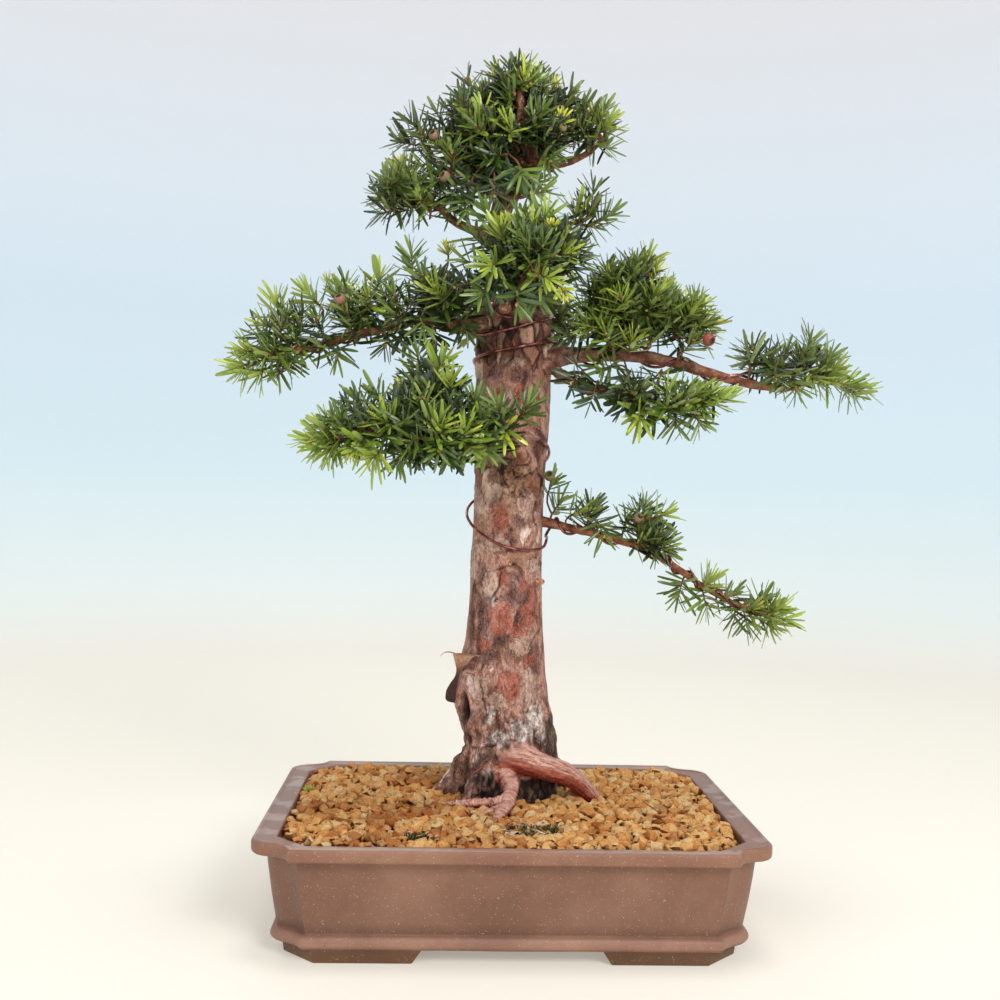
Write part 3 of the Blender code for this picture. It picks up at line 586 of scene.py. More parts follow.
def fillSeats(dice, nodeName, anchors):
    # shoots that fill a pad, standing under the CAD pad's skin and leaning outwards
    skin = skinOf(nodes[nodeName])
    shallow = foliage["tipDepth" if "tip" in nodeName else
                      "looseDepth" if "upper_left" in nodeName else "fillDepth"]
    low, high = (Vector(corner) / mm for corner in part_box(nodeName))
    step = foliage["fillSpacing"]
    found = []
    for x in np.arange(low.x, high.x, step):
        for y in np.arange(low.y, high.y, step):
            for z in np.arange(low.z, high.z, step):
                place = Vector([c + dice.uniform(0, step) for c in (x, y, z)])
                depth = depthIn(skin, place)
                if depth < shallow or insideTrunk(place):
                    continue
                away = place - Vector(min(anchors, key=lambda row: (Vector(row[:3]) - place).length)[:3])
                out = skin.find_nearest(place)[1]
                heading = (away.normalized() * .7 + out * .6 + up * .45 + scatter(dice, .3)).normalized()
                if "upper_left" in nodeName and depthIn(skin, place - heading * foliage["keepClear"]) < 0:
                    continue                 # its foot would hang out of the pad
                shade = foliage["shades"][dice.choice(("dark", "dark", "mid", "mid", "mid", "fresh"))]
                kind = "dark" if shade < .3 else "mid"
                # painted shade: a shoot deeper inside the pad gets darker needles
                found.append((place, heading, kind, shade - min(.24, .014 * depth), False))
    return found


def seenSeats(rows):
    found = []
    for x, y, z, angle, share, kind in rows:
        turn, flat = math.radians(angle), math.sqrt(1 - share * share)
        heading = Vector((flat * math.cos(turn), -share, flat * math.sin(turn)))
        found.append((Vector((x, y, z)), heading, kind, foliage["shades"][kind], True))
    return found


def growPad(nodeName, carriers, seen, seed):
    dice = random.Random(seed)
    anchors = np.concatenate([fineRoute(branchRoutes.get(name, leaderRoute), 6) for name in carriers])
    seats = seenSeats(seen) + fillSeats(dice, nodeName, anchors)
    rows, tips = [], []
    for place, heading, kind, shade, seen in seats:
        # painted light and shade for the whole pad
        shade += foliage["tones"].get(nodeName, 0)
        made, base, tip = shootNeedles(dice, place, heading, kind, shade, seen)
        for row in made:
            # left out where it would stand in the trunk or hide bare wood
            outer, inner = row[0] + row[1] * 14, row[0] + row[1] * 4
            if not (insideTrunk(outer) or hidesWood(outer) or hidesWood(inner)):
                rows.append(row)
        tips.append((base, heading, tip))
        if kind != "fresh" and dice.random() < foliage["budShare"]:
            budSeats.append((tip + heading * 1.5, heading, dice.uniform(*foliage["budSizes"])))
    turns = [[way * (mm * size), upper.cross(way) * (mm * size * wide), upper * (mm * size)]
             for _, way, upper, size, wide, _ in rows]
    places = np.array([row[0] for row in rows]) * mm
    shades = np.array([row[5] for row in rows])
    kinds = [dice.randrange(len(needleShapes)) for _ in rows]
    name = nodeName.replace("foliage", "needles")
    needles, _ = stampCopies(name, needleShapes, kinds, turns, places, needleMap(shades))
    finishPiece(smoothShade(needles, 55), needleFinish, "needles", nodeName)
    growTwigs(nodeName.replace("foliage", "twigs"), dice, anchors, tips)
    return len(rows)


def growTwigs(name, dice, anchors, tips):
    # every shoot is joined to the nearest wood, which is a branch or an earlier twig
    spots = [Vector(row[:3]) for row in anchors]
    parents, loads, routes = [None] * len(spots), [0] * len(spots), []
    reached = [0.0] * len(spots)

    def addSpot(place, parent, span):
        spots.append(place)
        parents.append(parent)
        loads.append(0)
        reached.append(reached[parent] + span)
        return len(spots) - 1

    order = sorted(tips, key=lambda tip: min((tip[0] - spot).length for spot in spots[:len(anchors)]))
    for base, heading, tip in order:
        cost = np.linalg.norm(np.array(spots) - np.array(base), axis=1) + .25 * np.array(reached)
        start = int(cost.argmin())
        root, span = spots[start], (base - spots[start]).length
        sway = scatter(dice, .12 * span)
        count = max(2, round(span / foliage["twigStep"]))
        a, b = root + (base - root) * .35 + sway, base - heading * (.4 * span)
        route = [start]
        for k in range(1, count + 1):
            t = k / count
            place = (root * (1 - t) ** 3 + a * (3 * t * (1 - t) ** 2) + b * (3 * t * t * (1 - t))
                     + base * t ** 3)
            route.append(addSpot(place, route[-1], span / count))
        last = route[-1]
        routes.append(route + [addSpot(tip, last, 12)])
        while last is not None:
            loads[last] += 1
            last = parents[last]
    end, thin, thick = foliage["twigSizes"]
    strands = []
    for route in routes:
        rows = [(*spots[i], min(thick, thin + .26 * math.sqrt(loads[i]))) for i in route]
        rows[0] = (*rows[0][:3], rows[1][3])
        rows[-1] = (*rows[-1][:3], end)
        strands.append(rows)
    twigs = tubesFrom(name, strands, 6)
    finishPiece(smoothShade(twigs, 80), twigFinish, "twig_bark")


def twigMaterial():
    material, tree = newMaterial("twig bark", .75, Specular_IOR_Level=.3)
    place = placeOf(tree)
    broad = noiseOf(place, 90, 3)
    fine = noiseOf(place, 900, 4)
    tone = rampOf(broad, (.3, (92, 54, 36)), (.5, (134, 82, 56)), (.7, (170, 118, 88)))
    linkTo(darken(.5, tone, rampOf(fine, (.3, .45), (.7, 1.0))), "Base Color")
    bumpOf(fine, .4, .6)
    return material


# shoots seen in the photograph: x, y and z in millimetres, angle in the picture in degrees, share
# towards the viewer, kind
seenShoots = {
    "foliage_front": [
        (-51, -30, 505, 250, .5, "dark"), (-34, -40, 499, 270, .4, "dark"), (-17, -38, 498, 290, .4, "mid"),
        (-42, -45, 512, 230, .6, "dark"), (-25, -55, 518, 300, .8, "mid"), (-3, -30, 508, 330, .4, "dark"),
        (-52, -56, 515, 215, .8, "fresh"), (-41, -45, 548, 90, .3, "yellow"),
        (-45, -50, 539, 110, .5, "fresh"), (-55, -30, 557, 125, .2, "mid"), (-12, -35, 555, 70, .4, "fresh"),
        (-7, -45, 545, 80, .5, "yellow"), (0, -45, 527, 10, .5, "fresh"), (-12, -58, 507, 330, .6, "fresh"),
        (3, -50, 498, 300, .4, "yellow"), (-32, -50, 491, 265, .4, "mid"), (-69, -35, 521, 170, .3, "mid"),
        (-63, -20, 542, 140, .2, "mid"), (-28, -60, 534, 90, .9, "mid"), (-30, -30, 555, 85, .3, "mid"),
        (14, -30, 525, 20, .2, "mid"), (-75, -30, 503, 200, .3, "dark"), (-57, -45, 497, 230, .5, "mid"),
        (-16, -62, 527, 60, .9, "mid"), (-21, -40, 545, 95, .5, "fresh")],
    "foliage_right_upper": [
        (77, 4, 533, 80, .2, "fresh"), (84, 0, 526, 60, .3, "yellow"), (65, 0, 521, 115, .2, "mid"),
        (49, 10, 517, 130, .3, "fresh"), (38, 20, 508, 120, .3, "mid"), (87, -5, 506, 75, .4, "fresh"),
        (111, -12, 489, 60, .3, "fresh"), (117, -8, 493, 55, .2, "fresh"), (124, -6, 480, 5, .3, "fresh"),
        (63, 0, 488, 100, .5, "dark"), (34, 0, 477, 160, .4, "mid"), (19, 10, 471, 190, .4, "dark"),
        (64, -8, 463, 80, .7, "fresh"), (44, -12, 467, 120, .7, "mid"), (101, 10, 490, 85, .2, "dark"),
        (29, 20, 493, 140, .2, "mid"), (83, 15, 479, 90, .3, "dark"), (105, -5, 477, 60, .5, "dark"),
        (52, 5, 501, 100, .5, "mid")],
    "foliage_right_lower": [
        (20, 0, 435, 230, .5, "dark"), (34, -10, 422, 250, .4, "dark"), (57, -15, 417, 270, .4, "dark"),
        (70, -25, 404, 250, .8, "fresh"), (100, -20, 402, 272, .3, "mid"), (115, -30, 403, 300, .3, "mid"),
        (127, -30, 416, 10, .3, "spray"), (118, -25, 422, 0, .3, "spray"), (87, -10, 432, 250, .5, "dark"),
        (44, -5, 444, 200, .5, "mid"), (111, -20, 420, 340, .5, "mid"), (59, -15, 433, 240, .6, "dark")],
    "foliage_right_tip": [
        (167, -5, 459, 120, .3, "dark"), (180, -20, 441, 270, .7, "dark"), (189, -8, 455, 60, .5, "dark"),
        (213, 0, 467, 85, .2, "mid"), (225, -10, 453, 60, .4, "mid"), (232, -15, 436, 350, .3, "spray"),
        (172, 10, 447, 180, .3, "dark"), (197, -20, 433, 280, .4, "mid"), (215, -14, 440, 300, .5, "fresh"),
        (230, -12, 445, 30, .4, "fresh"), (245, -12, 429, 320, .3, "mid"), (205, -4, 454, 90, .5, "mid"),
        (180, 0, 455, 100, .5, "dark"), (188, -14, 440, 250, .6, "mid"), (242, -10, 435, 345, .2, "spray")],
    "foliage_low_right_inner": [
        (4, 30, 346, 75, .3, "mid"), (10, 24, 330, 60, .3, "mid"), (25, 20, 323, 20, .6, "fresh"),
        (37, 20, 324, 90, .3, "mid"), (46, 10, 310, 290, .4, "mid")],
    "foliage_low_right_middle": [
        (81, 10, 326, 85, .3, "mid"), (94, 0, 324, 15, .3, "fresh"), (95, -2, 297, 330, .7, "mid"),
        (79, 12, 303, 60, .5, "mid"), (67, 20, 316, 80, .4, "mid")],
    "foliage_low_right_tip": [
        (111, 0, 263, 250, .4, "mid"), (132, -4, 268, 50, .3, "fresh"), (150, -4, 258, 30, .4, "mid"),
        (169, -12, 249, 20, .4, "yellow"), (184, -14, 244, 350, .3, "spray"), (157, 0, 246, 270, .3, "mid"),
        (131, -5, 255, 280, .5, "mid"), (182, -10, 239, 300, .3, "fresh"), (174, -10, 253, 60, .4, "mid"),
        (164, -8, 242, 280, .5, "mid"), (188, -12, 249, 20, .3, "fresh")],
    "foliage_crown": [
        (-117, 0, 638, 140, .3, "dark"), (-124, -4, 622, 175, .3, "dark"), (-107, -8, 604, 200, .4, "mid"),
        (-92, -10, 616, 150, .5, "mid"), (-109, -12, 623, 120, .5, "dark"), (-95, -10, 593, 220, .4, "dark"),
        (-83, -12, 583, 260, .4, "dark"), (-86, -8, 572, 280, .3, "dark"), (-72, -14, 571, 270, .4, "mid"),
        (-51, -20, 582, 270, .5, "dark"), (-52, 5, 682, 95, .2, "yellow"), (-28, 0, 675, 88, .2, "fresh"),
        (-18, 5, 674, 70, .2, "mid"), (-4, 10, 676, 70, .2, "yellow"), (8, 15, 671, 45, .2, "dark"),
        (27, 8, 653, 80, .3, "yellow"), (38, 0, 642, 40, .3, "fresh"), (34, 5, 651, 55, .2, "mid"),
        (36, 0, 626, 345, .3, "mid"), (-39, -20, 631, 85, .8, "fresh"), (3, -5, 645, 80, .5, "yellow"),
        (-17, -15, 640, 60, .6, "mid"), (-72, 10, 674, 115, .1, "dark"), (-84, 0, 648, 150, .3, "dark"),
        (-86, -10, 608, 90, .3, "mid"), (-17, -20, 581, 15, .4, "mid"), (-64, -20, 630, 150, .7, "mid"),
        (-47, -15, 612, 200, .6, "dark"), (-104, 0, 626, 160, .3, "dark"), (-71, -10, 588, 250, .5, "dark"),
        (-31, -30, 596, 280, .7, "mid"), (-10, -10, 611, 330, .5, "mid"), (-40, -5, 660, 100, .6, "dark"),
        (-76, -15, 651, 130, .5, "dark"), (-96, 5, 645, 120, .2, "dark")],
    "foliage_small_right": [
        (18, 10, 571, 100, .5, "fresh"), (32, 14, 587, 85, .2, "dark"), (41, 6, 569, 30, .2, "mid"),
        (28, 10, 563, 350, .3, "mid")],
    "foliage_crown_left": [
        (-124, -10, 600, 110, .3, "yellow"), (-139, -12, 576, 165, .3, "dark"),
        (-115, -15, 581, 100, .5, "mid"), (-119, -10, 568, 215, .3, "dark"), (-101, -5, 572, 80, .4, "mid"),
        (-136, -15, 563, 200, .3, "dark"), (-95, 0, 586, 90, .3, "dark")],
    "foliage_upper_left_tip": [
        (-237, -26, 438, 200, .3, "spray"), (-222, -18, 482, 95, .3, "fresh"),
        (-229, -18, 468, 165, .4, "fresh"), (-204, -14, 466, 80, .3, "dark"),
        (-233, -22, 447, 190, .5, "fresh"), (-203, -18, 448, 240, .5, "fresh"),
        (-215, -20, 453, 230, .5, "mid"), (-243, -26, 446, 175, .3, "fresh"),
        (-232, -26, 430, 235, .4, "fresh"), (-218, -24, 434, 255, .4, "mid"),
        (-211, -20, 441, 270, .4, "dark"), (-245, -24, 433, 210, .4, "fresh"),
        (-224, -30, 446, 215, .6, "mid"), (-233, -20, 458, 150, .4, "dark"), (-216, -16, 472, 60, .5, "mid"),
        (-205, -12, 476, 70, .4, "dark")],
    "foliage_upper_left_middle": [
        (-204, -16, 455, 140, .5, "mid"), (-162, -18, 465, 100, .6, "dark"),
        (-186, -18, 455, 250, .5, "dark"), (-173, -14, 491, 110, .5, "mid"),
        (-195, -12, 492, 135, .3, "fresh"), (-182, -10, 504, 95, .3, "yellow"),
        (-150, -20, 490, 90, .7, "fresh"), (-174, -16, 449, 270, .4, "mid"), (-164, -20, 476, 120, .7, "mid"),
        (-188, -20, 470, 100, .7, "mid"), (-169, -15, 497, 80, .3, "mid"), (-142, -12, 508, 75, .2, "fresh")],
    "foliage_upper_left_inner": [
        (-137, -16, 493, 110, .4, "dark"), (-127, -20, 479, 140, .6, "mid"),
        (-147, -16, 477, 230, .5, "dark"), (-118, -18, 487, 70, .6, "dark"), (-107, -18, 476, 280, .6, "mid"),
        (-91, -12, 483, 60, .6, "dark"), (-80, -10, 493, 90, .5, "mid"), (-74, -8, 476, 300, .4, "dark"),
        (-134, -10, 461, 250, .4, "dark"), (-69, -8, 503, 80, .4, "mid"), (-116, -10, 524, 95, .2, "mid"),
        (-87, -10, 533, 95, .3, "yellow"), (-93, -30, 495, 140, .6, "fresh"),
        (-121, -6, 466, 300, .3, "dark"), (-97, 0, 466, 260, .3, "dark"), (-128, -24, 491, 100, .7, "mid"),
        (-105, -25, 507, 120, .6, "mid")],
    "foliage_lower_left_tip": [
        (-178, -62, 378, 190, .3, "spray"), (-156, -66, 370, 255, .4, "yellow"),
        (-170, -58, 388, 150, .3, "mid"), (-173, -60, 369, 215, .4, "fresh"),
        (-175, -58, 384, 160, .3, "fresh"), (-166, -62, 375, 230, .5, "mid"),
        (-162, -58, 384, 130, .5, "mid"), (-180, -60, 372, 205, .3, "fresh")],
    "foliage_lower_left": [
        (-163, -58, 389, 140, .6, "mid"), (-154, -62, 380, 190, .7, "mid"), (-146, -62, 386, 120, .7, "dark"),
        (-139, -60, 390, 100, .7, "mid"), (-131, -64, 380, 200, .8, "mid"), (-143, -50, 399, 130, .5, "dark"),
        (-124, -62, 388, 170, .8, "dark"), (-158, -52, 399, 150, .4, "dark"),
        (-149, -66, 372, 240, .6, "fresh"), (-137, -44, 409, 120, .5, "mid"),
        (-109, -20, 444, 100, .3, "mid"), (-91, -24, 439, 60, .3, "fresh"),
        (-124, -30, 417, 90, .4, "yellow"), (-83, -40, 421, 85, .5, "fresh"),
        (-152, -45, 405, 125, .3, "mid"), (-138, -70, 365, 230, .4, "fresh"),
        (-129, -66, 391, 150, .6, "fresh"), (-90, -70, 387, 60, .5, "fresh"), (-90, -70, 374, 265, .7, "mid"),
        (-71, -62, 382, 80, .6, "fresh"), (-44, -52, 402, 110, .6, "mid"), (-24, -46, 404, 60, .6, "mid"),
        (-39, -52, 387, 265, .6, "fresh"), (-54, -56, 375, 280, .6, "mid"), (-108, -70, 378, 200, .7, "mid"),
        (-113, -55, 405, 110, .6, "dark"), (-63, -50, 407, 100, .6, "mid"), (-120, -60, 366, 250, .4, "mid"),
        (-98, -35, 415, 90, .4, "dark")],
}

# pads in the order they grow in, and what carries them
padCarriers = {
    **dict.fromkeys(["foliage_upper_left_tip", "foliage_upper_left_middle", "foliage_upper_left_inner"],
                    ["branch_upper_left"]),
    "foliage_lower_left_tip": ["branch_lower_left"],
    "foliage_lower_left": ["branch_lower_left", "branch_lower_left_side"],
    "foliage_right_upper": ["branch_right"],
    "foliage_right_lower": ["branch_right_lower"],
    "foliage_right_tip": ["branch_right"],
    **dict.fromkeys(["foliage_low_right_inner", "foliage_low_right_middle", "foliage_low_right_tip"],
                    ["branch_low_right"]),
    "foliage_front": ["branch_front"],
    "foliage_crown_left": ["crown_branch_left"],
    "foliage_crown": ["leader", "crown_branch_right", "crown_branch_upper_left", "crown_branch_back"],
    "foliage_small_right": ["twig_small_right"],
    "foliage_back": ["branch_back"],
}


def modelBud():
    # a pointed bud along X
    clearSelection()
    bpy.ops.mesh.primitive_ico_sphere_add(subdivisions=1, radius=1)
    made = bpy.context.object
    made.scale = (1.5, 1, 1)
    return readOriginal(settle(made))


def setBuds():
    turns = [axesFor(way, size * mm) for _, way, size in budSeats]
    places = np.array([row[0] for row in budSeats]) * mm
    buds, _ = stampCopies("shoot_buds", [modelBud()], [0] * len(turns), turns, places)
    finish = cloudedMaterial("bud scales", .6, (500, 3), [(.4, (112, 74, 40)), (.5, (168, 124, 72)),
                                                          (.6, (206, 170, 116))], Specular_IOR_Level=.4)
    finishPiece(smoothShade(buds, 60), finish, "twig_bark")


# Seed cups: a fleshy round cup open at one end, on a short stalk
seedCups = {
    # half width and height, in shares of the cup's radius
    "profile": ((.25, 0), (.7, .1), (.96, .42), (1, .8), (.86, 1.22), (.62, 1.42), (.46, 1.36), (.42, 1.1)),
    "sides": 14, "stalk": 9,
    # place, way of the opening, radius in millimetres and tone from green over brown to red
    "placed": [((122, -24, 468), (.55, -.75, -.4), 5.4, 1), ((-89, -20, 590), (-.6, -.6, .3), 4.6, .55),
               ((-99, -14, 624), (-.5, -.7, .5), 4.6, .5), ((-170, -34, 486), (-.3, -.6, .7), 4.6, .7),
               ((74, 0, 320), (.3, -.8, .5), 4.4, .45), ((3, 22, 353), (-.2, -.8, .5), 4.6, .15),
               ((2, -18, 633), (.3, -.7, .6), 3.4, .3), ((-34, 84, 618), (-.4, .7, -.3), 4.5, .6),
               ((6, 116, 512), (.4, .8, .3), 4.6, .9)],
}


def hangSeedCups():
    rings = []
    for radius, along in seedCups["profile"]:
        turns = [2 * math.pi * k / seedCups["sides"] for k in range(seedCups["sides"])]
        rings.append([Vector((radius * math.cos(turn), radius * math.sin(turn), along)) for turn in turns])
    cup = readOriginal(liftRings("seed_cup", rings))
    turns, places, stalks, tones = [], [], [], []
    for place, way, radius, tone in seedCups["placed"]:
        way, place = Vector(way).normalized(), Vector(place)
        side = way.orthogonal().normalized()
        turns.append([side * radius, way.cross(side) * radius, way * radius])
        places.append(place * mm)
        tones.append(tone)
        stalks.append([(*(place - way * (t * seedCups["stalk"])), .8 - .25 * t) for t in (-.05, .3, .65, 1)])
    cups, owners = stampCopies("seed_cups", [cup], [0] * len(turns), turns, places)
    inner = np.tile([float(np.hypot(*row[:2]) < .47 * mm and row[2] > mm) for row in cup["points"]],
                    len(turns))
    markPoints(cups, "tone", np.array(tones)[owners])
    markPoints(cups, "inner", inner)
    finish, tree = newMaterial("seed cup", .45, Specular_IOR_Level=.4)
    cloud = noiseOf(placeOf(tree), 260, 4)
    skin = rampOf(attributeOf(tree, "tone"), (0, (104, 108, 62)), (.3, (132, 118, 78)), (.55, (150, 112, 92)),
                  (.8, (158, 104, 86)), (1, (150, 72, 62)))
    skin = darken(.6, skin, rampOf(cloud, (.38, .6), (.6, 1.0)))
    linkTo(mixOf(attributeOf(tree, "inner"), skin, srgb(74, 66, 36)), "Base Color")
    finishPiece(smoothShade(cups, 60), finish, "needles")
    finishPiece(smoothShade(tubesFrom("seed_stalks", stalks, 8), 60), twigFinish, "twig_bark")


needleShapes = [modelNeedle(*bend) for bend in foliage["needleBends"]]
needleFinish = needleMaterial("yew needle", .34, Specular_IOR_Level=.55, Coat_Weight=.2, Coat_Roughness=.25)
twigFinish = twigMaterial()
budSeats = []
grown = sum(growPad(name, carriers, seenShoots.get(name, []), seed)
            for seed, (name, carriers) in enumerate(padCarriers.items(), 11))
setBuds()
hangSeedCups()
print("foliage grown:", grown, "needles,", len(budSeats), "buds")


# Trunk: the CAD form, remeshed finely and carved into yew bark
trunkBark = {
    "voxel": 1.45,               # millimetres
    "broad": 1.1,                # swell of the whole surface, in millimetres
    "wrinkles": .45,
    "plates": 1.3,               # step between two bark plates where the bark is rough
    "cracks": 1.1,
    "grit": .16,
    # heights in millimetres between which each zone fades in
    "zones": {"low": (190, 120), "rough": (415, 450), "chunky": (438, 456), "underTop": (500, 480),
              "upper": (480, 520), "leaderTop": (636, 650), "flare": (178, 150), "recess": (116, 106)},
    # marks on the front: x and z in millimetres from the whole object's middle, and half sizes
    "marks": {
        "red": [(-29, 180, 11, 12), (-36, 235, 9, 14), (-23, 226, 8, 7), (-14, 239, 7, 11), (-50, 213, 5, 6),
                (-36, 271, 5, 8), (-18, 263, 3, 5), (-12, 200, 6, 7), (-39, 319, 7, 12), (-43, 420, 7, 6),
                (-25, 423, 7, 7), (-31, 462, 7, 6), (-10, 251, 5, 13)],
        "stain": [(-49, 236, 6, 20), (-36, 218, 7, 6), (-51, 270, 4, 9), (-23, 254, 13, 8), (-22, 317, 8, 7),
                  (-46, 439, 7, 7), (-25, 437, 10, 7), (-47, 205, 8, 7), (-28, 269, 7, 7), (-7, 202, 5, 12),
                  (-36, 236, 2.5, 4), (-18, 230, 4, 2)],
        "pale": [(-45, 265, 6, 12), (-10, 280, 7, 6), (-21, 212, 12, 8), (-58, 284, 4, 18), (-17, 330, 7, 11),
                 (-40, 296, 13, 6), (-54, 333, 7, 12), (-28, 448, 10, 4), (-56, 420, 7, 17),
                 (-11, 177, 7, 18), (-38, 168, 7, 8), (-52, 176, 7, 10)],
        "tan": [(-22, 286, 10, 7), (-28, 214, 10, 7), (-35, 327, 7, 11), (-55, 308, 8, 12)],
        "crust": [(-18, 145, 13, 9), (-6, 156, 7, 7), (-35, 139, 8, 7), (-43, 156, 5, 7), (-1, 140, 5, 7)],
        "brown": [(-36, 354, 15, 12), (-23, 342, 7, 7), (-52, 462, 14, 16), (-60, 224, 4, 11),
                  (-66, 110, 8, 12)],
        "moss": [(9, 136, 8, 18), (12, 124, 6, 10)],
    },
    "share": {"red": .3, "stain": .18, "pale": .12, "tan": .24, "crust": .26, "brown": .26, "moss": .3},
    # cracks on the front as lines of x and z, and edges of bark that overhang the bark below
    "splits": [[(-31, 160), (-31.4, 156), (-31, 151)], [(-9, 332), (-12, 322), (-8, 312)],
               [(-52, 184), (-49, 170), (-46, 152)], [(-37, 274), (-38, 262), (-44, 252)]],
    "edges": [[(-61, 127), (-50, 128), (-40, 132), (-31, 134)], [(-52, 200), (-43, 198), (-37, 200)],
              [(-26, 346), (-20, 338), (-15, 336)], [(-14, 211), (-8, 220), (-3, 226)],
              [(-42, 276), (-34, 279), (-26, 282)], [(-48, 252), (-42, 251), (-38, 254)],
              [(-60, 236), (-58, 228), (-57, 218)]],
    "hollow": (-63.5, 160, 3.6, 15),
    "whorl": (-28.5, 357, 12),
}
rootSkin = {
    "reach": (1.55, 1.2),        # where a root's skin fades in, in radii from its middle
    "lieAt": 90, "lieShare": .85,            # height that thin ends rise to, and how much of the way
    "dip": 15, "slimmer": .9,    # how much lower and thinner the thick root's end is, in millimetres
    "pullFrom": 48, "pullShare": .24,        # the thick root is shorter beyond this x
}
# roots that have their own skin: x, y, z and radius in millimetres, and whether they are ringed
rootRoutes = {
    "arch": ([(2, 10, 118, 10), (14, -1, 119, 10.5), (32, -4, 114, 10.5), (47, 0, 109, 10), (60, 7, 103, 9.5),
              (72, 15, 94, 9.5), (83, 24, 84, 9), (93, 33, 71, 7), (100, 40, 58, 4)], 0),
    "front": ([(-2, 10, 116, 8), (0, 1, 108, 7.5), (3, -9, 99, 6.5), (1, -22, 91, 5.5), (-4, -37, 84, 5),
               (-9, -52, 77, 4.5), (-12, -64, 66, 3)], 1),
    "frontLeft": ([(2, -17, 94, 5), (-13, -20, 89, 4.6), (-28, -19, 84.5, 4.2), (-41, -17, 79, 3.6),
                   (-52, -15, 68, 2.5)], 1),
    "frontMiddle": ([(-1, -28, 88, 4), (-10, -34, 83, 3.2), (-18, -41, 77, 2.8), (-25, -49, 67, 2)], 1),
}


def noiseAt(points, *scales, shift=0.0):
    # scales are features per millimetre along x, y and z, or one for all three
    return np.array([noise.noise(p) for p in (points * scales + shift).tolist()])


def platesAt(points, *scales):
    # each plate's own height, and how close a point is to the plate's edge
    heights, edges = [], []
    for p in (points * scales).tolist():
        away, seeds = noise.voronoi(p)
        heights.append(noise.cell(seeds[0] * 7.3))
        edges.append(away[1] - away[0])
    return np.array(heights), np.array(edges)


def fade(values, low, high):
    t = np.clip((values - low) / (high - low), 0, 1)
    return t * t * (3 - 2 * t)


def nearLine(points, rows):
    # the way from a line of rows, with the length along it and the last value of the rows there
    rows = np.array(rows, float)
    size = points.shape[1]
    best, ways = np.full(len(points), 1e9), np.zeros(points.shape)
    along, last, covered = np.zeros(len(points)), np.zeros(len(points)), 0.0
    for a, b in zip(rows, rows[1:]):
        way = (b - a)[:size]
        length = np.linalg.norm(way)
        t = np.clip((points - a[:size]) @ way / length ** 2, 0, 1)
        offset = points - a[:size] - t[:, None] * way
        away = np.linalg.norm(offset, axis=1)
        closer = away < best
        best[closer], ways[closer] = away[closer], offset[closer]
        along[closer] = covered + (t * length)[closer]
        last[closer] = (a[-1] + t * (b[-1] - a[-1]))[closer]
        covered += length
    return best, ways, along, last


def rootSkins(at):
    # how much a point is on a root, and where on it: across and along the fine cracks of its skin
    onRoot, fold, across, length, lift, pull, slim = (np.zeros(len(at)) for _ in range(7))
    for rows, ringed in rootRoutes.values():
        away, ways, along, radius = nearLine(at - (potX, 0, 0), smoothRows(rows, 4))
        skin = fade(away / np.maximum(radius, 1), *rootSkin["reach"])
        turn = np.arctan2(ways[:, 2], -ways[:, 1]) * np.maximum(radius, 1)
        wobble = noiseAt(at, .12)
        if ringed:
            ridges = .4 * np.sin(along * 1.8 + 7 * wobble) + .7 * noiseAt(at, .2, shift=6)
            flow = (along, turn * .25)
        else:
            ridges, flow = .22 * np.sin(turn * .8 + along * .05 + 7 * wobble), (turn, along * .12)
        taken = skin > onRoot
        fold[taken], across[taken], length[taken] = (ridges * skin)[taken], flow[0][taken], flow[1][taken]
        onRoot = np.maximum(onRoot, skin)
        if ringed:
            # the thin ends lie on the soil, and the thick root's end dips into it
            under = np.maximum(rootSkin["lieAt"] - (at[:, 2] - ways[:, 2]), 0)
            lift = np.maximum(lift, rootSkin["lieShare"] * skin * under)
        else:
            slim += skin * rootSkin["slimmer"] * fade(along, 45, 85)
            lift -= rootSkin["dip"] * skin * fade(along, 42, 88)
            pull += rootSkin["pullShare"] * skin * np.maximum(at[:, 0] - potX - rootSkin["pullFrom"], 0)
    return onRoot, fold, across, length, lift, pull, slim


def markFields(at, out, onRoot, low, high):
    # a soft field for each kind of mark, .5 at its ragged edge and more inside
    x, _, z = at.T
    front = fade(-out[:, 1], -.15, .3)
    ragged = .55 * noiseAt(at, .13, .13, .1, shift=11) + .3 * noiseAt(at, .38, .38, .3, shift=5)
    fields = {}
    for kind, rows in trunkBark["marks"].items():
        inside = np.full(len(at), -1.0)
        for midX, midZ, wide, tall in rows:
            inside = np.maximum(inside, 1 - np.hypot((x - midX) / wide, (z - midZ) / tall))
        inside += .55 * ragged
        # the other sides get patches of the same kinds
        spread = noiseAt(at, .05, .05, .03, shift=20 + 9 * len(fields)) + ragged * .16
        elsewhere = (spread - trunkBark["share"][kind]) * 2
        if kind in ("crust", "moss"):
            elsewhere -= 1.5 * (1 - low)
        else:
            elsewhere -= .6 * high
        inside = inside * front + elsewhere * (1 - front)
        fields[kind] = np.clip(.5 + .5 * inside - .6 * onRoot, 0, 1)
    return fields


